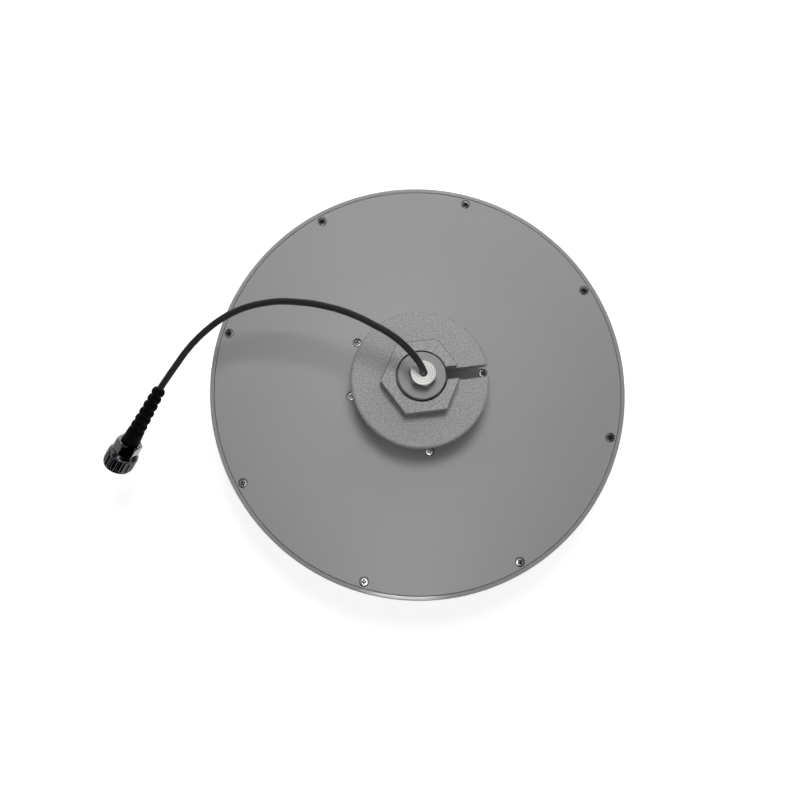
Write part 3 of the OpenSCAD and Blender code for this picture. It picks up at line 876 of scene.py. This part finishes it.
@dataclass
class BackPlate:
    """Flat disc and hollow threaded stud in one moulding, with recesses for the screws."""

    screws: ScrewPlan
    plate_t: float = 4.0
    edge_round: float = 0.3
    edge_out: float = 0.05
    stud_d: float = 32.0
    stud_round: float = 0.6
    lead_in: float = 0.6
    lead_h: float = 3.6
    thread_pitch: float = 3.0
    thread_depth: float = 0.9
    foot_fillet: float = 1.2
    neck_h: float = 2.0
    neck_lap: float = 0.5
    bore_r: float = 6.2
    recess_steps: int = 40

    def recess(self) -> bmesh.types.BMesh:
        """Make the tool that sinks one screw's hole and head into the plate.

        Returns:
            The tool.
        """
        plan = self.screws
        low = -self.plate_t - OVER
        head_r = plan.head_d / 2 + plan.head_gap
        return spun([
            (0, low, 0), (plan.hole_r, low, 0), (plan.hole_r, plan.seat_z, 0), (head_r, plan.seat_z, 0),
            *flared(head_r, 0, plan.recess_edge),
        ], self.recess_steps)

    def build(self) -> None:
        """Build and dress the plate and its stud."""
        low, high = reach("back_plate")
        stud_r, top = self.stud_d / 2, high.z
        edge_r, neck_top = high.x + self.edge_out, self.neck_h + self.neck_lap
        thread = threaded(stud_r, self.thread_depth, self.thread_pitch, self.neck_h, top)
        piece = solid("back_plate_moulding", thread)
        past_r, lead_r, lead_low = stud_r + OVER, stud_r - self.lead_in, top - self.lead_h
        combine(piece, Combine.KEEP_COMMON, spun([
            (0, 0, 0), (past_r, 0, 0), (past_r, lead_low - OVER - self.lead_in, 0), (lead_r, lead_low, 0),
            (lead_r, top, self.stud_round), (0, top, 0),
        ]))
        combine(piece, Combine.JOIN, spun([
            (0, low.z, 0), (edge_r, low.z, 0), (edge_r, 0, self.edge_round), (stud_r, 0, self.foot_fillet),
            (stud_r, neck_top, 0), (0, neck_top, 0),
        ], steps=2 * ROUND_STEPS))
        places = self.screws.rim() + self.screws.hub() + self.screws.ground()
        combine(piece, Combine.CUT, repeated(self.recess(), places))
        combine(piece, Combine.CUT, cylinder(self.bore_r, low.z - OVER, top + OVER))
        mark(piece, lambda face: face.center.z > (top - self.stud_round) * MM)
        publish(piece, GREY_ABS, Body.ANTENNA, Slot.GREY_PLASTIC, "back_plate", second=FACED_ABS)


@dataclass
class CrossScrews:
    """Pan head screws with a cross recess, in the plate's face."""

    screws: ScrewPlan
    crown: float = 0.06
    # Share of the crown's fall that is reached halfway out
    mid_fall: float = 0.125
    edge: float = 0.35
    tip_round: float = 0.4
    cross_l: float = 4.0
    cross_w: float = 1.5
    cross_depth: float = 1.3
    cross_taper: float = 0.75
    punch_r: float = 0.45
    punch_depth: float = 1.5
    crisp: float = 12.0
    rim_len: float = 10.0
    hub_len: float = 14.0
    ground_len: float = 8.0
    head_steps: int = 48
    punch_steps: int = 24
    # How far each cross stands from the radial direction, in degrees
    rim_turns: tuple[float, ...] = (20, 65, 40, 5, 89.5, 15.5, 4.5, 75)
    hub_turns: tuple[float, ...] = (36, 10, 60, 12)
    ground_turns: tuple[float, ...] = (23.5,)

    def cross(self) -> list[bmesh.types.BMesh]:
        """Make the two tapered blades that press the recess.

        Returns:
            The blades.
        """
        blades = []
        for turn in (0, 90):
            bm = block(self.cross_l, self.cross_w, 2 * self.cross_depth)
            foot = [vert for vert in bm.verts if vert.co.z < 0]
            bmesh.ops.scale(bm, vec=(self.cross_taper, 1 - self.cross_taper / 2, 1), verts=foot)
            blades.append(moved(bm, raised(self.screws.head_h) @ turned(turn)))
        return blades

    def is_recess(self, face: bpy.types.MeshPolygon) -> bool:
        """Tell whether a face of a screw is a wall of its recess.

        Args:
            face: A face of a screw whose head sits on z = 0.

        Returns:
            Whether it is.
        """
        spot = face.center / MM
        floor = self.screws.head_h - self.punch_depth + MERGE / MM
        return floor < spot.z < self.screws.head_h - 2 * self.crown and spot.xy.length < self.cross_l / 2

    def build_set(
        self, name: str, node: str, length: float, places: Sequence[Matrix], turns: Sequence[float],
    ) -> None:
        """Build and dress one group of like screws.

        Args:
            name: Name of the piece.
            node: The solid that the group stands for.
            length: Length under the head.
            places: Where the screws stand.
            turns: Turn of each cross, in degrees.
        """
        plan = self.screws
        shank_r, head_r, top = plan.shank_d / 2, plan.head_d / 2, plan.head_h
        piece = solid(name, spun([
            (0, -length, 0), (shank_r, -length, self.tip_round), (shank_r, 0, 0), (head_r, 0, 0),
            (head_r, top - self.crown, self.edge), (head_r / 2, top - self.crown * self.mid_fall, 0),
            (0, top, 0),
        ], self.head_steps))
        for blade in self.cross():
            combine(piece, Combine.CUT, blade)
        punch = cylinder(self.punch_r, top - self.punch_depth, top + OVER, self.punch_steps)
        combine(piece, Combine.CUT, punch)
        # The walls of the cross recess get a near black: painted shade
        mark(piece, self.is_recess)
        bm = bmesh.new()
        bm.from_mesh(piece.data)
        seat = raised(plan.seat_z)
        spots = [place @ seat @ turned(turn) for place, turn in zip(places, turns)]
        repeated(bm, spots).to_mesh(piece.data)
        bm.free()
        publish(piece, ZINC, Body.ANTENNA, Slot.SCREW_STEEL, node, second=RECESS_PAINTED_SHADE, hard=self.crisp)

    def build(self) -> None:
        """Build and dress the three groups that show in the plate's face."""
        rim, hub, ground = self.screws.rim(), self.screws.hub(), self.screws.ground()
        self.build_set("rim_screw_set", "rim_screws", self.rim_len, rim, self.rim_turns)
        self.build_set("hub_screw_set", "hub_screws", self.hub_len, hub, self.hub_turns)
        self.build_set("ground_screw_single", "ground_screw", self.ground_len, ground, self.ground_turns)


@dataclass
class MountingNut:
    """Slotted flange nut with a hexagon, one stippled moulding."""

    turn: float = 7.0
    flange_t: float = 13.0
    flange_round: float = 2.5
    foot_round: float = 0.5
    hex_af: float = 47.0
    hex_top_out: float = 2.7
    hex_cone_deg: float = 30.0
    hex_edge: float = 0.5
    bore_r: float = 16.8
    bore_edge: float = 0.3
    slot_w: float = 8.5
    # What tells a chamfer's face: bore radii from the axis, the slope of its normal, degrees off a flat
    chamfer_out: float = 1.2
    chamfer_up: tuple[float, float] = (0.1, 0.99)
    chamfer_off: float = 2.0

    def build(self) -> None:
        """Build and dress the nut."""
        low, high = reach("mounting_nut")
        flange_r = -low.x
        height = high.z - low.z
        flange = spun([
            (0, 0, 0), (flange_r, 0, self.foot_round), (flange_r, self.flange_t, self.flange_round),
            (0, self.flange_t, 0),
        ])
        piece = solid("mounting_nut_moulding", flange)
        hex_h, hex_top_r = height - self.flange_t, self.hex_af / 2 + self.hex_top_out
        head = hexagon(self.hex_af, hex_h + OVER, hex_top_r, self.hex_cone_deg, 0, self.hex_edge)
        combine(piece, Combine.JOIN, moved(head, raised(self.flange_t - OVER)))
        combine(piece, Combine.CUT, spun([
            (0, -OVER, 0), (self.bore_r, -OVER, 0), *flared(self.bore_r, height, self.bore_edge),
        ]))
        slot = block(2 * flange_r, self.slot_w, height + 2 * OVER)
        combine(piece, Combine.CUT, moved(slot, Matrix.Translation(Vector((flange_r, 0, height / 2)) * MM)))
        piece.data.transform(raised(low.z) @ turned(self.turn))
        # The chamfers along the hexagon's top get a darker grey: painted shade lines on its edges
        mark(piece, lambda face: self.is_shaded_hex_edge(face, low.z + self.flange_t))
        publish(piece, STIPPLED_ABS, Body.NUT, Slot.STIPPLED_PLASTIC, "mounting_nut", second=EDGE_ABS_PAINTED_SHADE)

    def is_shaded_hex_edge(self, face: bpy.types.MeshPolygon, flange_top: float) -> bool:
        """Tell whether a face is one of the chamfers along the hexagon's top, which get painted shade.

        Args:
            face: A face of the nut.
            flange_top: Height of the flange's top.

        Returns:
            Whether it is.
        """
        sector = 360 / HEX_SIDES
        side = math.degrees(math.atan2(face.normal.y, face.normal.x)) - self.turn
        off = abs((side % sector) - sector / 2)
        outside = face.center.xy.length > self.bore_r * MM * self.chamfer_out
        least, most = self.chamfer_up
        sloped = least < face.normal.z < most
        return outside and face.center.z > flange_top * MM and sloped and off < self.chamfer_off


@dataclass
class GlandNut:
    """Hexagonal cap nut that the cable comes out of, turned and nickel plated."""

    turn: float = 42.0
    across_flats: float = 15.5
    top_out: float = 0.1
    cone_deg: float = 50.0
    # Faces that look up or down by less than this are the sides, painted darker as shade
    flat_from: float = 0.9
    cap_t: float = 3.0
    cavity_r: float = 6.15
    cable_hole_r: float = 2.3
    hole_edge: float = 0.3
    hole_steps: int = 64

    def build(self) -> None:
        """Build and dress the nut."""
        low, high = reach("gland_nut")
        height = high.z - low.z
        top_r = self.across_flats / 2 + self.top_out
        piece = solid("gland_cap_nut", hexagon(self.across_flats, height, top_r, self.cone_deg, self.turn))
        roof, hole_r = height - self.cap_t, self.cable_hole_r
        combine(piece, Combine.CUT, spun([
            (0, -OVER, 0), (self.cavity_r, -OVER, 0), (self.cavity_r, roof, 0), (hole_r, roof, 0),
            *flared(hole_r, height, self.hole_edge),
        ], self.hole_steps))
        piece.data.transform(raised(low.z))
        # The sides get the darker nickel: painted shade
        mark(piece, lambda face: abs(face.normal.z) < self.flat_from)
        publish(piece, NICKEL, Body.ANTENNA, Slot.TURNED_NICKEL, "gland_nut", second=SIDE_NICKEL_PAINTED_SHADE)


@dataclass
class Plug:
    """Where the plug lies, and what is seen of it: the ribbed boot and the coupling nut."""

    boot_at: Point = (-170.5, -8.5, 43.0)
    aim: Point = (-6.0, -8.0, -4.5)
    boot_len: float = 44.5
    tip_d: float = 6.1
    neck_d: float = 8.7
    sleeve_d: float = 10.6
    sleeve_round: float = 0.5
    end_d: float = 12.0
    end_round: float = 0.3
    rib_count: int = 6
    rib_pitch: float = 5.8
    rib_gap: float = 1.5
    rib_h: float = 1.05
    rib_steps: int = 10
    boot_steps: int = 64
    cable_r: float = 2.3
    ferrule_r: float = 3.55
    ferrule_len: float = 18.15
    nut_gap: float = 0.4
    nut_d: float = 20.6
    nut_len: float = 22.0
    nut_af: float = 15.6
    flat_len: float = 8.5
    collar_len: float = 3.0
    collar_round: float = 0.9
    shoulder_r: float = 8.4
    shoulder_h: float = 2.2
    rear_r: float = 7.3
    rear_cone_deg: float = 42.0
    nut_turn: float = 57.0
    flat_edge: float = 0.3
    grip_count: int = 18
    grip_r: float = 1.3
    grip_bite: float = 0.7
    grip_end: float = 0.9
    grip_round: float = 0.3
    grip_steps: int = 32
    lip_w: float = 2.0
    lip_step: float = 0.9
    lip_round: float = 0.35
    lip_fillet: float = 0.25
    rear_bore_r: float = 5.55
    snap_r: float = 6.55
    snap_from: float = 2.5
    snap_w: float = 1.9
    mouth_edge: float = 0.6
    bore_steps: int = 96
    thread_r: float = 7.95
    thread_depth: float = 0.35
    thread_pitch: float = 1.06
    thread_lap: float = 0.15
    thread_from: float = 2.0
    thread_to: float = 0.5

    def frame(self) -> Matrix:
        """Give the move that lays +Z along the plug, from the boot's narrow end.

        Returns:
            The move, in metres.
        """
        along = Vector(self.aim).normalized()
        tilt = Matrix.Rotation(math.acos(along.z), 4, "Y")
        swing = Matrix.Rotation(math.atan2(along.y, along.x), 4, "Z")
        return Matrix.Translation(Vector(self.boot_at) * MM) @ swing @ tilt

    def end_of_cable(self, depth: float) -> Vector:
        """Give the point that lies a depth inside the boot, in millimetres."""
        return Vector(self.boot_at) + depth * Vector(self.aim).normalized()

    def build_boot(self) -> bpy.types.Object:
        """Build and dress the boot.

        Returns:
            The boot.
        """
        ribs_len = self.rib_count * self.rib_pitch
        rib_w = self.rib_pitch - self.rib_gap
        outline: list[Corner] = [(self.cable_r, 0, 0)]
        for rib in range(self.rib_count):
            for step in range(self.rib_steps + 1):
                a = math.pi * step / self.rib_steps
                z = rib * self.rib_pitch + rib_w * (1 - math.cos(a)) / 2
                core = (self.tip_d + (self.neck_d - self.tip_d) * z / ribs_len) / 2
                outline.append((core + self.rib_h * math.sin(a), z, 0))
        cavity = self.boot_len - self.ferrule_len
        outline += [
            (self.neck_d / 2, ribs_len, 0), (self.sleeve_d / 2, ribs_len, self.sleeve_round),
            (self.end_d / 2, self.boot_len, self.end_round), (self.ferrule_r, self.boot_len, 0),
            (self.ferrule_r, cavity, 0), (self.cable_r, cavity, 0),
        ]
        piece = solid("strain_boot_rubber", moved(spun(outline, self.boot_steps), self.frame()))
        return publish(piece, RUBBER, Body.ANTENNA, Slot.BLACK_RUBBER, "strain_boot")

    def build_nut(self) -> bpy.types.Object:
        """Build and dress the coupling nut.

        Returns:
            The coupling nut.
        """
        out_r, lip_r = self.nut_d / 2, self.nut_d / 2 - self.lip_step
        collar, front = self.flat_len, self.nut_len
        lip = front - self.lip_w
        piece = solid("coupling_nut_chrome", spun([
            (0, collar, 0), (self.shoulder_r, collar, 0),
            (out_r, collar + self.shoulder_h, self.collar_round), (out_r, lip, self.grip_round),
            (lip_r, lip, self.lip_fillet), (lip_r, front, self.lip_round), (0, front, 0),
        ]))
        flute_low, flute_top = collar + self.collar_len, lip + OVER
        flute = spun([
            (0, flute_low, 0), (self.grip_r, flute_low, self.grip_end), (self.grip_r, flute_top, 0),
            (0, flute_top, 0),
        ], self.grip_steps)
        flute_r = out_r + self.grip_r - self.grip_bite
        combine(piece, Combine.CUT, repeated(flute, ring_of(self.grip_count, flute_r, self.nut_turn)))
        flats_h, cone_deg = collar + OVER, self.rear_cone_deg
        flats = hexagon(self.nut_af, flats_h, self.rear_r, cone_deg, -self.nut_turn, self.flat_edge)
        flip = Matrix.Rotation(math.pi, 4, "X")
        combine(piece, Combine.JOIN, moved(flats, raised(flats_h) @ flip))
        bore_r, mouth_r = self.rear_bore_r, self.thread_r - self.thread_depth
        snap_low, snap_top = self.snap_from, self.snap_from + self.snap_w
        combine(piece, Combine.CUT, spun([
            (0, -OVER, 0), (bore_r, -OVER, 0), (bore_r, snap_low, 0), (self.snap_r, snap_low, 0),
            (self.snap_r, snap_top, 0), (bore_r, snap_top, 0), (bore_r, collar, 0), (mouth_r, collar, 0),
            *flared(mouth_r, front, self.mouth_edge),
        ], self.bore_steps))
        combine(piece, Combine.CUT, threaded(
            self.thread_r, self.thread_depth + self.thread_lap, self.thread_pitch,
            collar + self.thread_from, front - self.thread_to,
        ))
        # The collar, grip and lip get the darker chrome: painted shade
        mark(piece, lambda face: face.center.z > collar * MM)
        piece.data.transform(self.frame() @ raised(self.boot_len + self.nut_gap))
        return publish(
            piece, CHROME, Body.COUPLING, Slot.CHROME_PLATE, "coupling_nut", second=GRIP_CHROME_PAINTED_SHADE,
        )


@dataclass
class CoaxLead:
    """The free black cable, from the gland to inside the boot, and the plug on its end."""

    plug: Plug
    diameter: float = 4.2
    inside_boot: float = 35.5
    rise: float = 3.2
    length: float = 254.5
    steps_between: int = 10
    steps_round: int = 6
    route: tuple[Point, ...] = (
        (0, 0, 59), (-1.5, 1.5, 68.5), (-6, 6.5, 76), (-13, 13.5, 79.5), (-21.5, 20, 81), (-31, 25.5, 81),
        (-40.5, 30.5, 80.5), (-50, 34.5, 79.5), (-59.5, 37.5, 78), (-69.5, 40, 76), (-79.5, 41.5, 74),
        (-89.5, 42.5, 71.5), (-99.5, 42, 69), (-109.5, 40.5, 66.5), (-118.5, 38, 63.5), (-127.5, 34, 60.5),
        (-136, 28.5, 58), (-144, 22, 55.5), (-151, 15, 53), (-157.5, 7, 50.5), (-164, -1, 47.5),
        (-170.5, -8.5, 43),
    )

    def build_cable(self) -> bpy.types.Object:
        """Build and dress the cable.

        Returns:
            The cable, a curve of one spline.
        """
        points = [Vector(point) for point in self.route] + [self.plug.end_of_cable(self.inside_boot)]
        curve = bpy.data.curves.new("coax_lead", "CURVE")
        curve.dimensions = "3D"
        curve.resolution_u = self.steps_between
        curve.bevel_depth = self.diameter / 2 * MM
        curve.bevel_resolution = self.steps_round
        curve.use_fill_caps = True
        spline = curve.splines.new("BEZIER")
        spline.bezier_points.add(len(points) - 1)
        for knot, point in zip(spline.bezier_points, points):
            knot.co = point * MM
            knot.handle_left_type = knot.handle_right_type = "AUTO"
        start = spline.bezier_points[0]
        start.handle_left_type = start.handle_right_type = "FREE"
        up = Vector((0, 0, self.rise)) * MM
        start.handle_left, start.handle_right = start.co - up, start.co + up
        piece = bpy.data.objects.new("coax_lead", curve)
        bpy.context.scene.collection.objects.link(piece)
        return publish(piece, JACKET, Body.ANTENNA, Slot.CABLE_JACKET, "coax_cable")

    def build(self) -> None:
        """Build the cable with its boot and plug."""
        cable = self.build_cable()
        boot = self.plug.build_boot()
        nut = self.plug.build_nut()


@dataclass
class Inside:
    """The pieces that keep their solids: what the radome, the gland and the plug hold."""

    def dress(self) -> None:
        """Give each solid its finish."""
        finishes: dict[Finish, tuple[str, ...]] = {
            RUBBER: ("rim_gasket", "gland_seal", "plug_gasket"),
            ZINC: ("ground_nut", "post_screws", "strap_rivet", "crimp_ferrule", "snap_ring"),
            ALUMINIUM: ("ground_plane",),
            GOLD_BRASS: ("radiator", "shorting_strap", "feed_body", "feed_pin", "gland_ring", "centre_pin"),
            NYLON: ("support_posts", "feed_insulator", "plug_insulator"),
            CHROME: ("plug_body",),
            JACKET: ("inner_coax",),
        }
        for finish, nodes in finishes.items():
            for node in nodes:
                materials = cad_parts[node].data.materials
                materials.clear()
                materials.append(finish.material())
                LOG.info("%s keeps its solid", node)


# The studio


@dataclass(frozen=True)
class WhiteSweep(Finish):
    """Matt white paper of the floor and backdrop: it shows as white and still takes the shadow."""

    name: str = "paper_white_sweep"
    colour: str = "#bcbcbc"
    floor_glow: float = 0.3
    floor_lift: float = 0.52
    wall_lift: float = 1.0
    lift_from: float = 0.4
    glow_from: float = 1.6
    wall_from: float = 2.4

    def wire(self, tree: bpy.types.NodeTree) -> bpy.types.Node:
        """Add the nodes of this finish.

        Args:
            tree: The material's empty node tree.

        Returns:
            The shader node.
        """
        rays = add(tree, "LightPath").outputs
        seen = add(tree, "Math", {0: rays["Is Camera Ray"], 1: rays["Is Glossy Ray"]}, operation="MAXIMUM")
        seen = add(tree, "Math", {0: seen.outputs[0], 1: rays["Is Transmission Ray"]}, operation="MAXIMUM")
        place = add(tree, "TexCoord").outputs["Object"]
        away = add(tree, "VectorMath", {0: place}, operation="LENGTH").outputs["Value"]
        lift = add(tree, "MapRange", {
            "Value": away, "From Min": self.lift_from, "From Max": self.wall_from,
            "To Min": self.floor_lift, "To Max": self.wall_lift,
        })
        table = add(tree, "MapRange", {
            "Value": away, "From Min": self.glow_from, "From Max": self.wall_from,
            "To Min": self.floor_glow, "To Max": 0.0,
        })
        glow = add(tree, "Math", {
            0: seen.outputs[0], 1: lift.outputs["Result"], 2: table.outputs["Result"],
        }, operation="MULTIPLY_ADD")
        paper = add(tree, "BsdfDiffuse", {"Color": linear(self.colour)})
        light = add(tree, "Emission", {"Strength": glow.outputs[0]})
        return add(tree, "AddShader", {0: paper.outputs[0], 1: light.outputs[0]})


def facing(at: Point, aim: Point | None, axis: str) -> Quaternion:
    """Give the turn that points an axis from a place to its aim.

    Args:
        at: The place.
        aim: The point to face, or none for straight down.
        axis: The axis that points there, such as "-Z".

    Returns:
        The turn.
    """
    target = Vector(aim or (at[0], at[1], 0.0))
    return (target - Vector(at)).to_track_quat(axis, "Y")


@dataclass
class Lamp:
    """One soft box, which looks at its aim or else straight down."""

    name: str
    at: Point
    size: tuple[float, float]
    watts: float
    aim: Point | None = None
    mirrored: bool = False

    def place(self) -> None:
        """Add the lamp to the scene."""
        light = bpy.data.lights.new(self.name, "AREA")
        light.shape = "RECTANGLE"
        light.size, light.size_y = self.size
        light.energy = self.watts
        lamp = bpy.data.objects.new(self.name, light)
        lamp.visible_glossy = self.mirrored
        lamp.location = self.at
        lamp.rotation_euler = facing(self.at, self.aim, "-Z").to_euler()
        bpy.context.scene.collection.objects.link(lamp)


@dataclass(frozen=True)
class CardGlow(Finish):
    """Card of one even grey, from black felt to a lit strip, which shows only as a reflection."""

    name: str
    glow: float

    def wire(self, tree: bpy.types.NodeTree) -> bpy.types.Node:
        """Add the one node of this finish, which is also its shader node."""
        return add(tree, "Emission", {"Strength": self.glow})


@dataclass
class Card:
    """A flat card around the antenna, seen only as a reflection, which looks at its aim or else down."""

    name: str
    at: Point
    size: tuple[float, float]
    glow: float
    aim: Point | None = None

    def place(self) -> None:
        """Add the card to the scene."""
        bm = bmesh.new()
        # The size of a grid is half its side
        bmesh.ops.create_grid(bm, size=1 / 2)
        bmesh.ops.scale(bm, vec=(*self.size, 1), verts=bm.verts)
        turn = facing(self.at, self.aim, "Z").to_matrix().to_4x4()
        card = solid(self.name, moved(bm, Matrix.Translation(self.at) @ turn))
        card.data.materials.append(CardGlow(self.name, self.glow).material())
        card.visible_camera = card.visible_diffuse = card.visible_shadow = False
        card.visible_transmission = False


@dataclass
class Studio:
    """Pale sweep, soft boxes, cards and a dim room around the antenna, in metres."""

    sweep_r: float = 4.0
    sweep_h: float = 4.0
    sweep_bend: float = 1.5
    sweep_wall_mm: float = 20.0
    floor_gap_mm: float = 0.2
    bend_steps: int = 12
    room_colour: str = "#ffffff"
    room_strength: float = 0.1
    centre: Point = (0.0, 0.0, 0.0)
    plug_at: Point = (-0.2, -0.055, 0.02)

    def build(self) -> None:
        """Build the sweep, the lamps, the cards and the world."""
        self.build_sweep()
        for item in self.lamps() + self.cards():
            item.place()
        world = bpy.data.worlds.new("dim_room")
        world.use_nodes = True
        world.node_tree.nodes.clear()
        room = add(world.node_tree, "Background", {
            "Color": linear(self.room_colour), "Strength": self.room_strength,
        })
        add(world.node_tree, "OutputWorld", {"Surface": room.outputs[0]})
        bpy.context.scene.world = world
        bpy.context.scene.view_settings.view_transform = "Standard"

    def build_sweep(self) -> None:
        """Build the floor and the wall around it, in one bent sheet."""
        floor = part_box("radome")[0].z / MM - self.floor_gap_mm
        r, h, bend = self.sweep_r / MM, self.sweep_h / MM, self.sweep_bend / MM
        wall = self.sweep_wall_mm
        sweep = spun([
            (0, floor, 0), (r, floor, bend), (r, floor + h, 0), (r + wall, floor + h, 0),
            (r + wall, floor - wall, bend), (0, floor - wall, 0),
        ], arc=self.bend_steps)
        backdrop = solid("white_sweep", sweep)
        backdrop.data.materials.append(WhiteSweep().material())
        backdrop.data.shade_smooth()

    def lamps(self) -> list[Lamp]:
        """List the soft boxes.

        Returns:
            The lamps, each with its place, size and watts.
        """
        return [
            Lamp("top_box", (-0.01, 0.125, 0.5), (0.13, 0.13), 1.8),
            Lamp("key_box", (0.3, 0.85, 0.75), (1.2, 0.5), 2.5, self.centre, mirrored=True),
            Lamp("fill_box", (-0.9, 0.3, 0.7), (0.6, 0.6), 0.6, self.centre),
            Lamp("front_box", (0.0, -1.0, 0.6), (0.7, 0.2), 1.1, self.centre),
            Lamp("side_box", (1.1, -0.5, 0.35), (0.6, 0.4), 1.6, self.centre),
        ]

    def cards(self) -> list[Card]:
        """List the cards: those overhead, then those around the plug.

        Returns:
            The cards, each with its place, size and glow.
        """
        return [
            Card("ceiling_card", (-0.015, -0.04, 1.1), (0.37, 0.76), 1.9),
            Card("low_ceiling_card", (0.03, -0.5, 1.09), (0.2, 0.12), 14.0),
            Card("streak_card", (0.11, -0.31, 1.095), (0.16, 0.22), 4.5),
            Card("left_ceiling_card", (-0.42, -0.1, 1.1), (0.25, 0.3), 0.75),
            Card("right_ceiling_card", (0.36, -0.27, 1.1), (0.25, 0.3), 0.55),
            Card("black_front_card", (-0.5, -1.15, 0.35), (1.1, 0.8), 0.0, self.plug_at),
            Card("black_corner_card", (-1.0, -0.85, 0.35), (1.1, 0.9), 0.0, self.plug_at),
            Card("black_right_card", (1.2, 0.35, 0.8), (1.9, 1.3), 0.0, self.plug_at),
            Card("grey_front_card", (0.6, -1.25, 0.3), (0.9, 0.8), 0.2, self.plug_at),
            Card("grey_side_card", (-1.25, 0.25, 0.2), (1.1, 0.58), 0.24, self.plug_at),
            Card("strip_card", (-1.0, -0.3, 0.28), (0.05, 0.4), 1.5, self.plug_at),
        ]


@dataclass
class PhotoCamera:
    """The camera at the photograph's place, worked out from the eight rim screws."""

    place_mm: Point = (-29.62, -56.5, 430.2)
    tilt_deg: float = 8.16
    roll_deg: float = 0.263
    sensor_mm: float = 36.0
    picture_px: float = 800.0
    focal_px: float = 600.0
    centre_px: tuple[float, float] = (373.33, 377.75)
    near_m: float = 0.01

    def place(self) -> None:
        """Add the camera and make it the scene's own."""
        lens = bpy.data.cameras.new("photo_camera")
        lens.sensor_width = self.sensor_mm
        lens.lens = self.sensor_mm * self.focal_px / self.picture_px
        lens.shift_x = 1 / 2 - self.centre_px[0] / self.picture_px
        lens.shift_y = self.centre_px[1] / self.picture_px - 1 / 2
        lens.clip_start = self.near_m
        camera = bpy.data.objects.new("photo_camera", lens)
        camera.location = Vector(self.place_mm) * MM
        camera.rotation_euler = (math.radians(self.tilt_deg), math.radians(self.roll_deg), 0)
        bpy.context.scene.collection.objects.link(camera)
        bpy.context.scene.camera = camera


def main() -> None:
    """Build the camera, the studio and the antenna."""
    logging.basicConfig(level=logging.INFO, format="%(name)s: %(message)s")
    PhotoCamera().place()
    Studio().build()
    screws = ScrewPlan()
    CoaxLead(Plug()).build()
    Radome(screws).build()
    BackPlate(screws).build()
    CrossScrews(screws).build()
    MountingNut().build()
    GlandNut().build()
    Inside().dress()


if __name__ == "__main__":
    main()
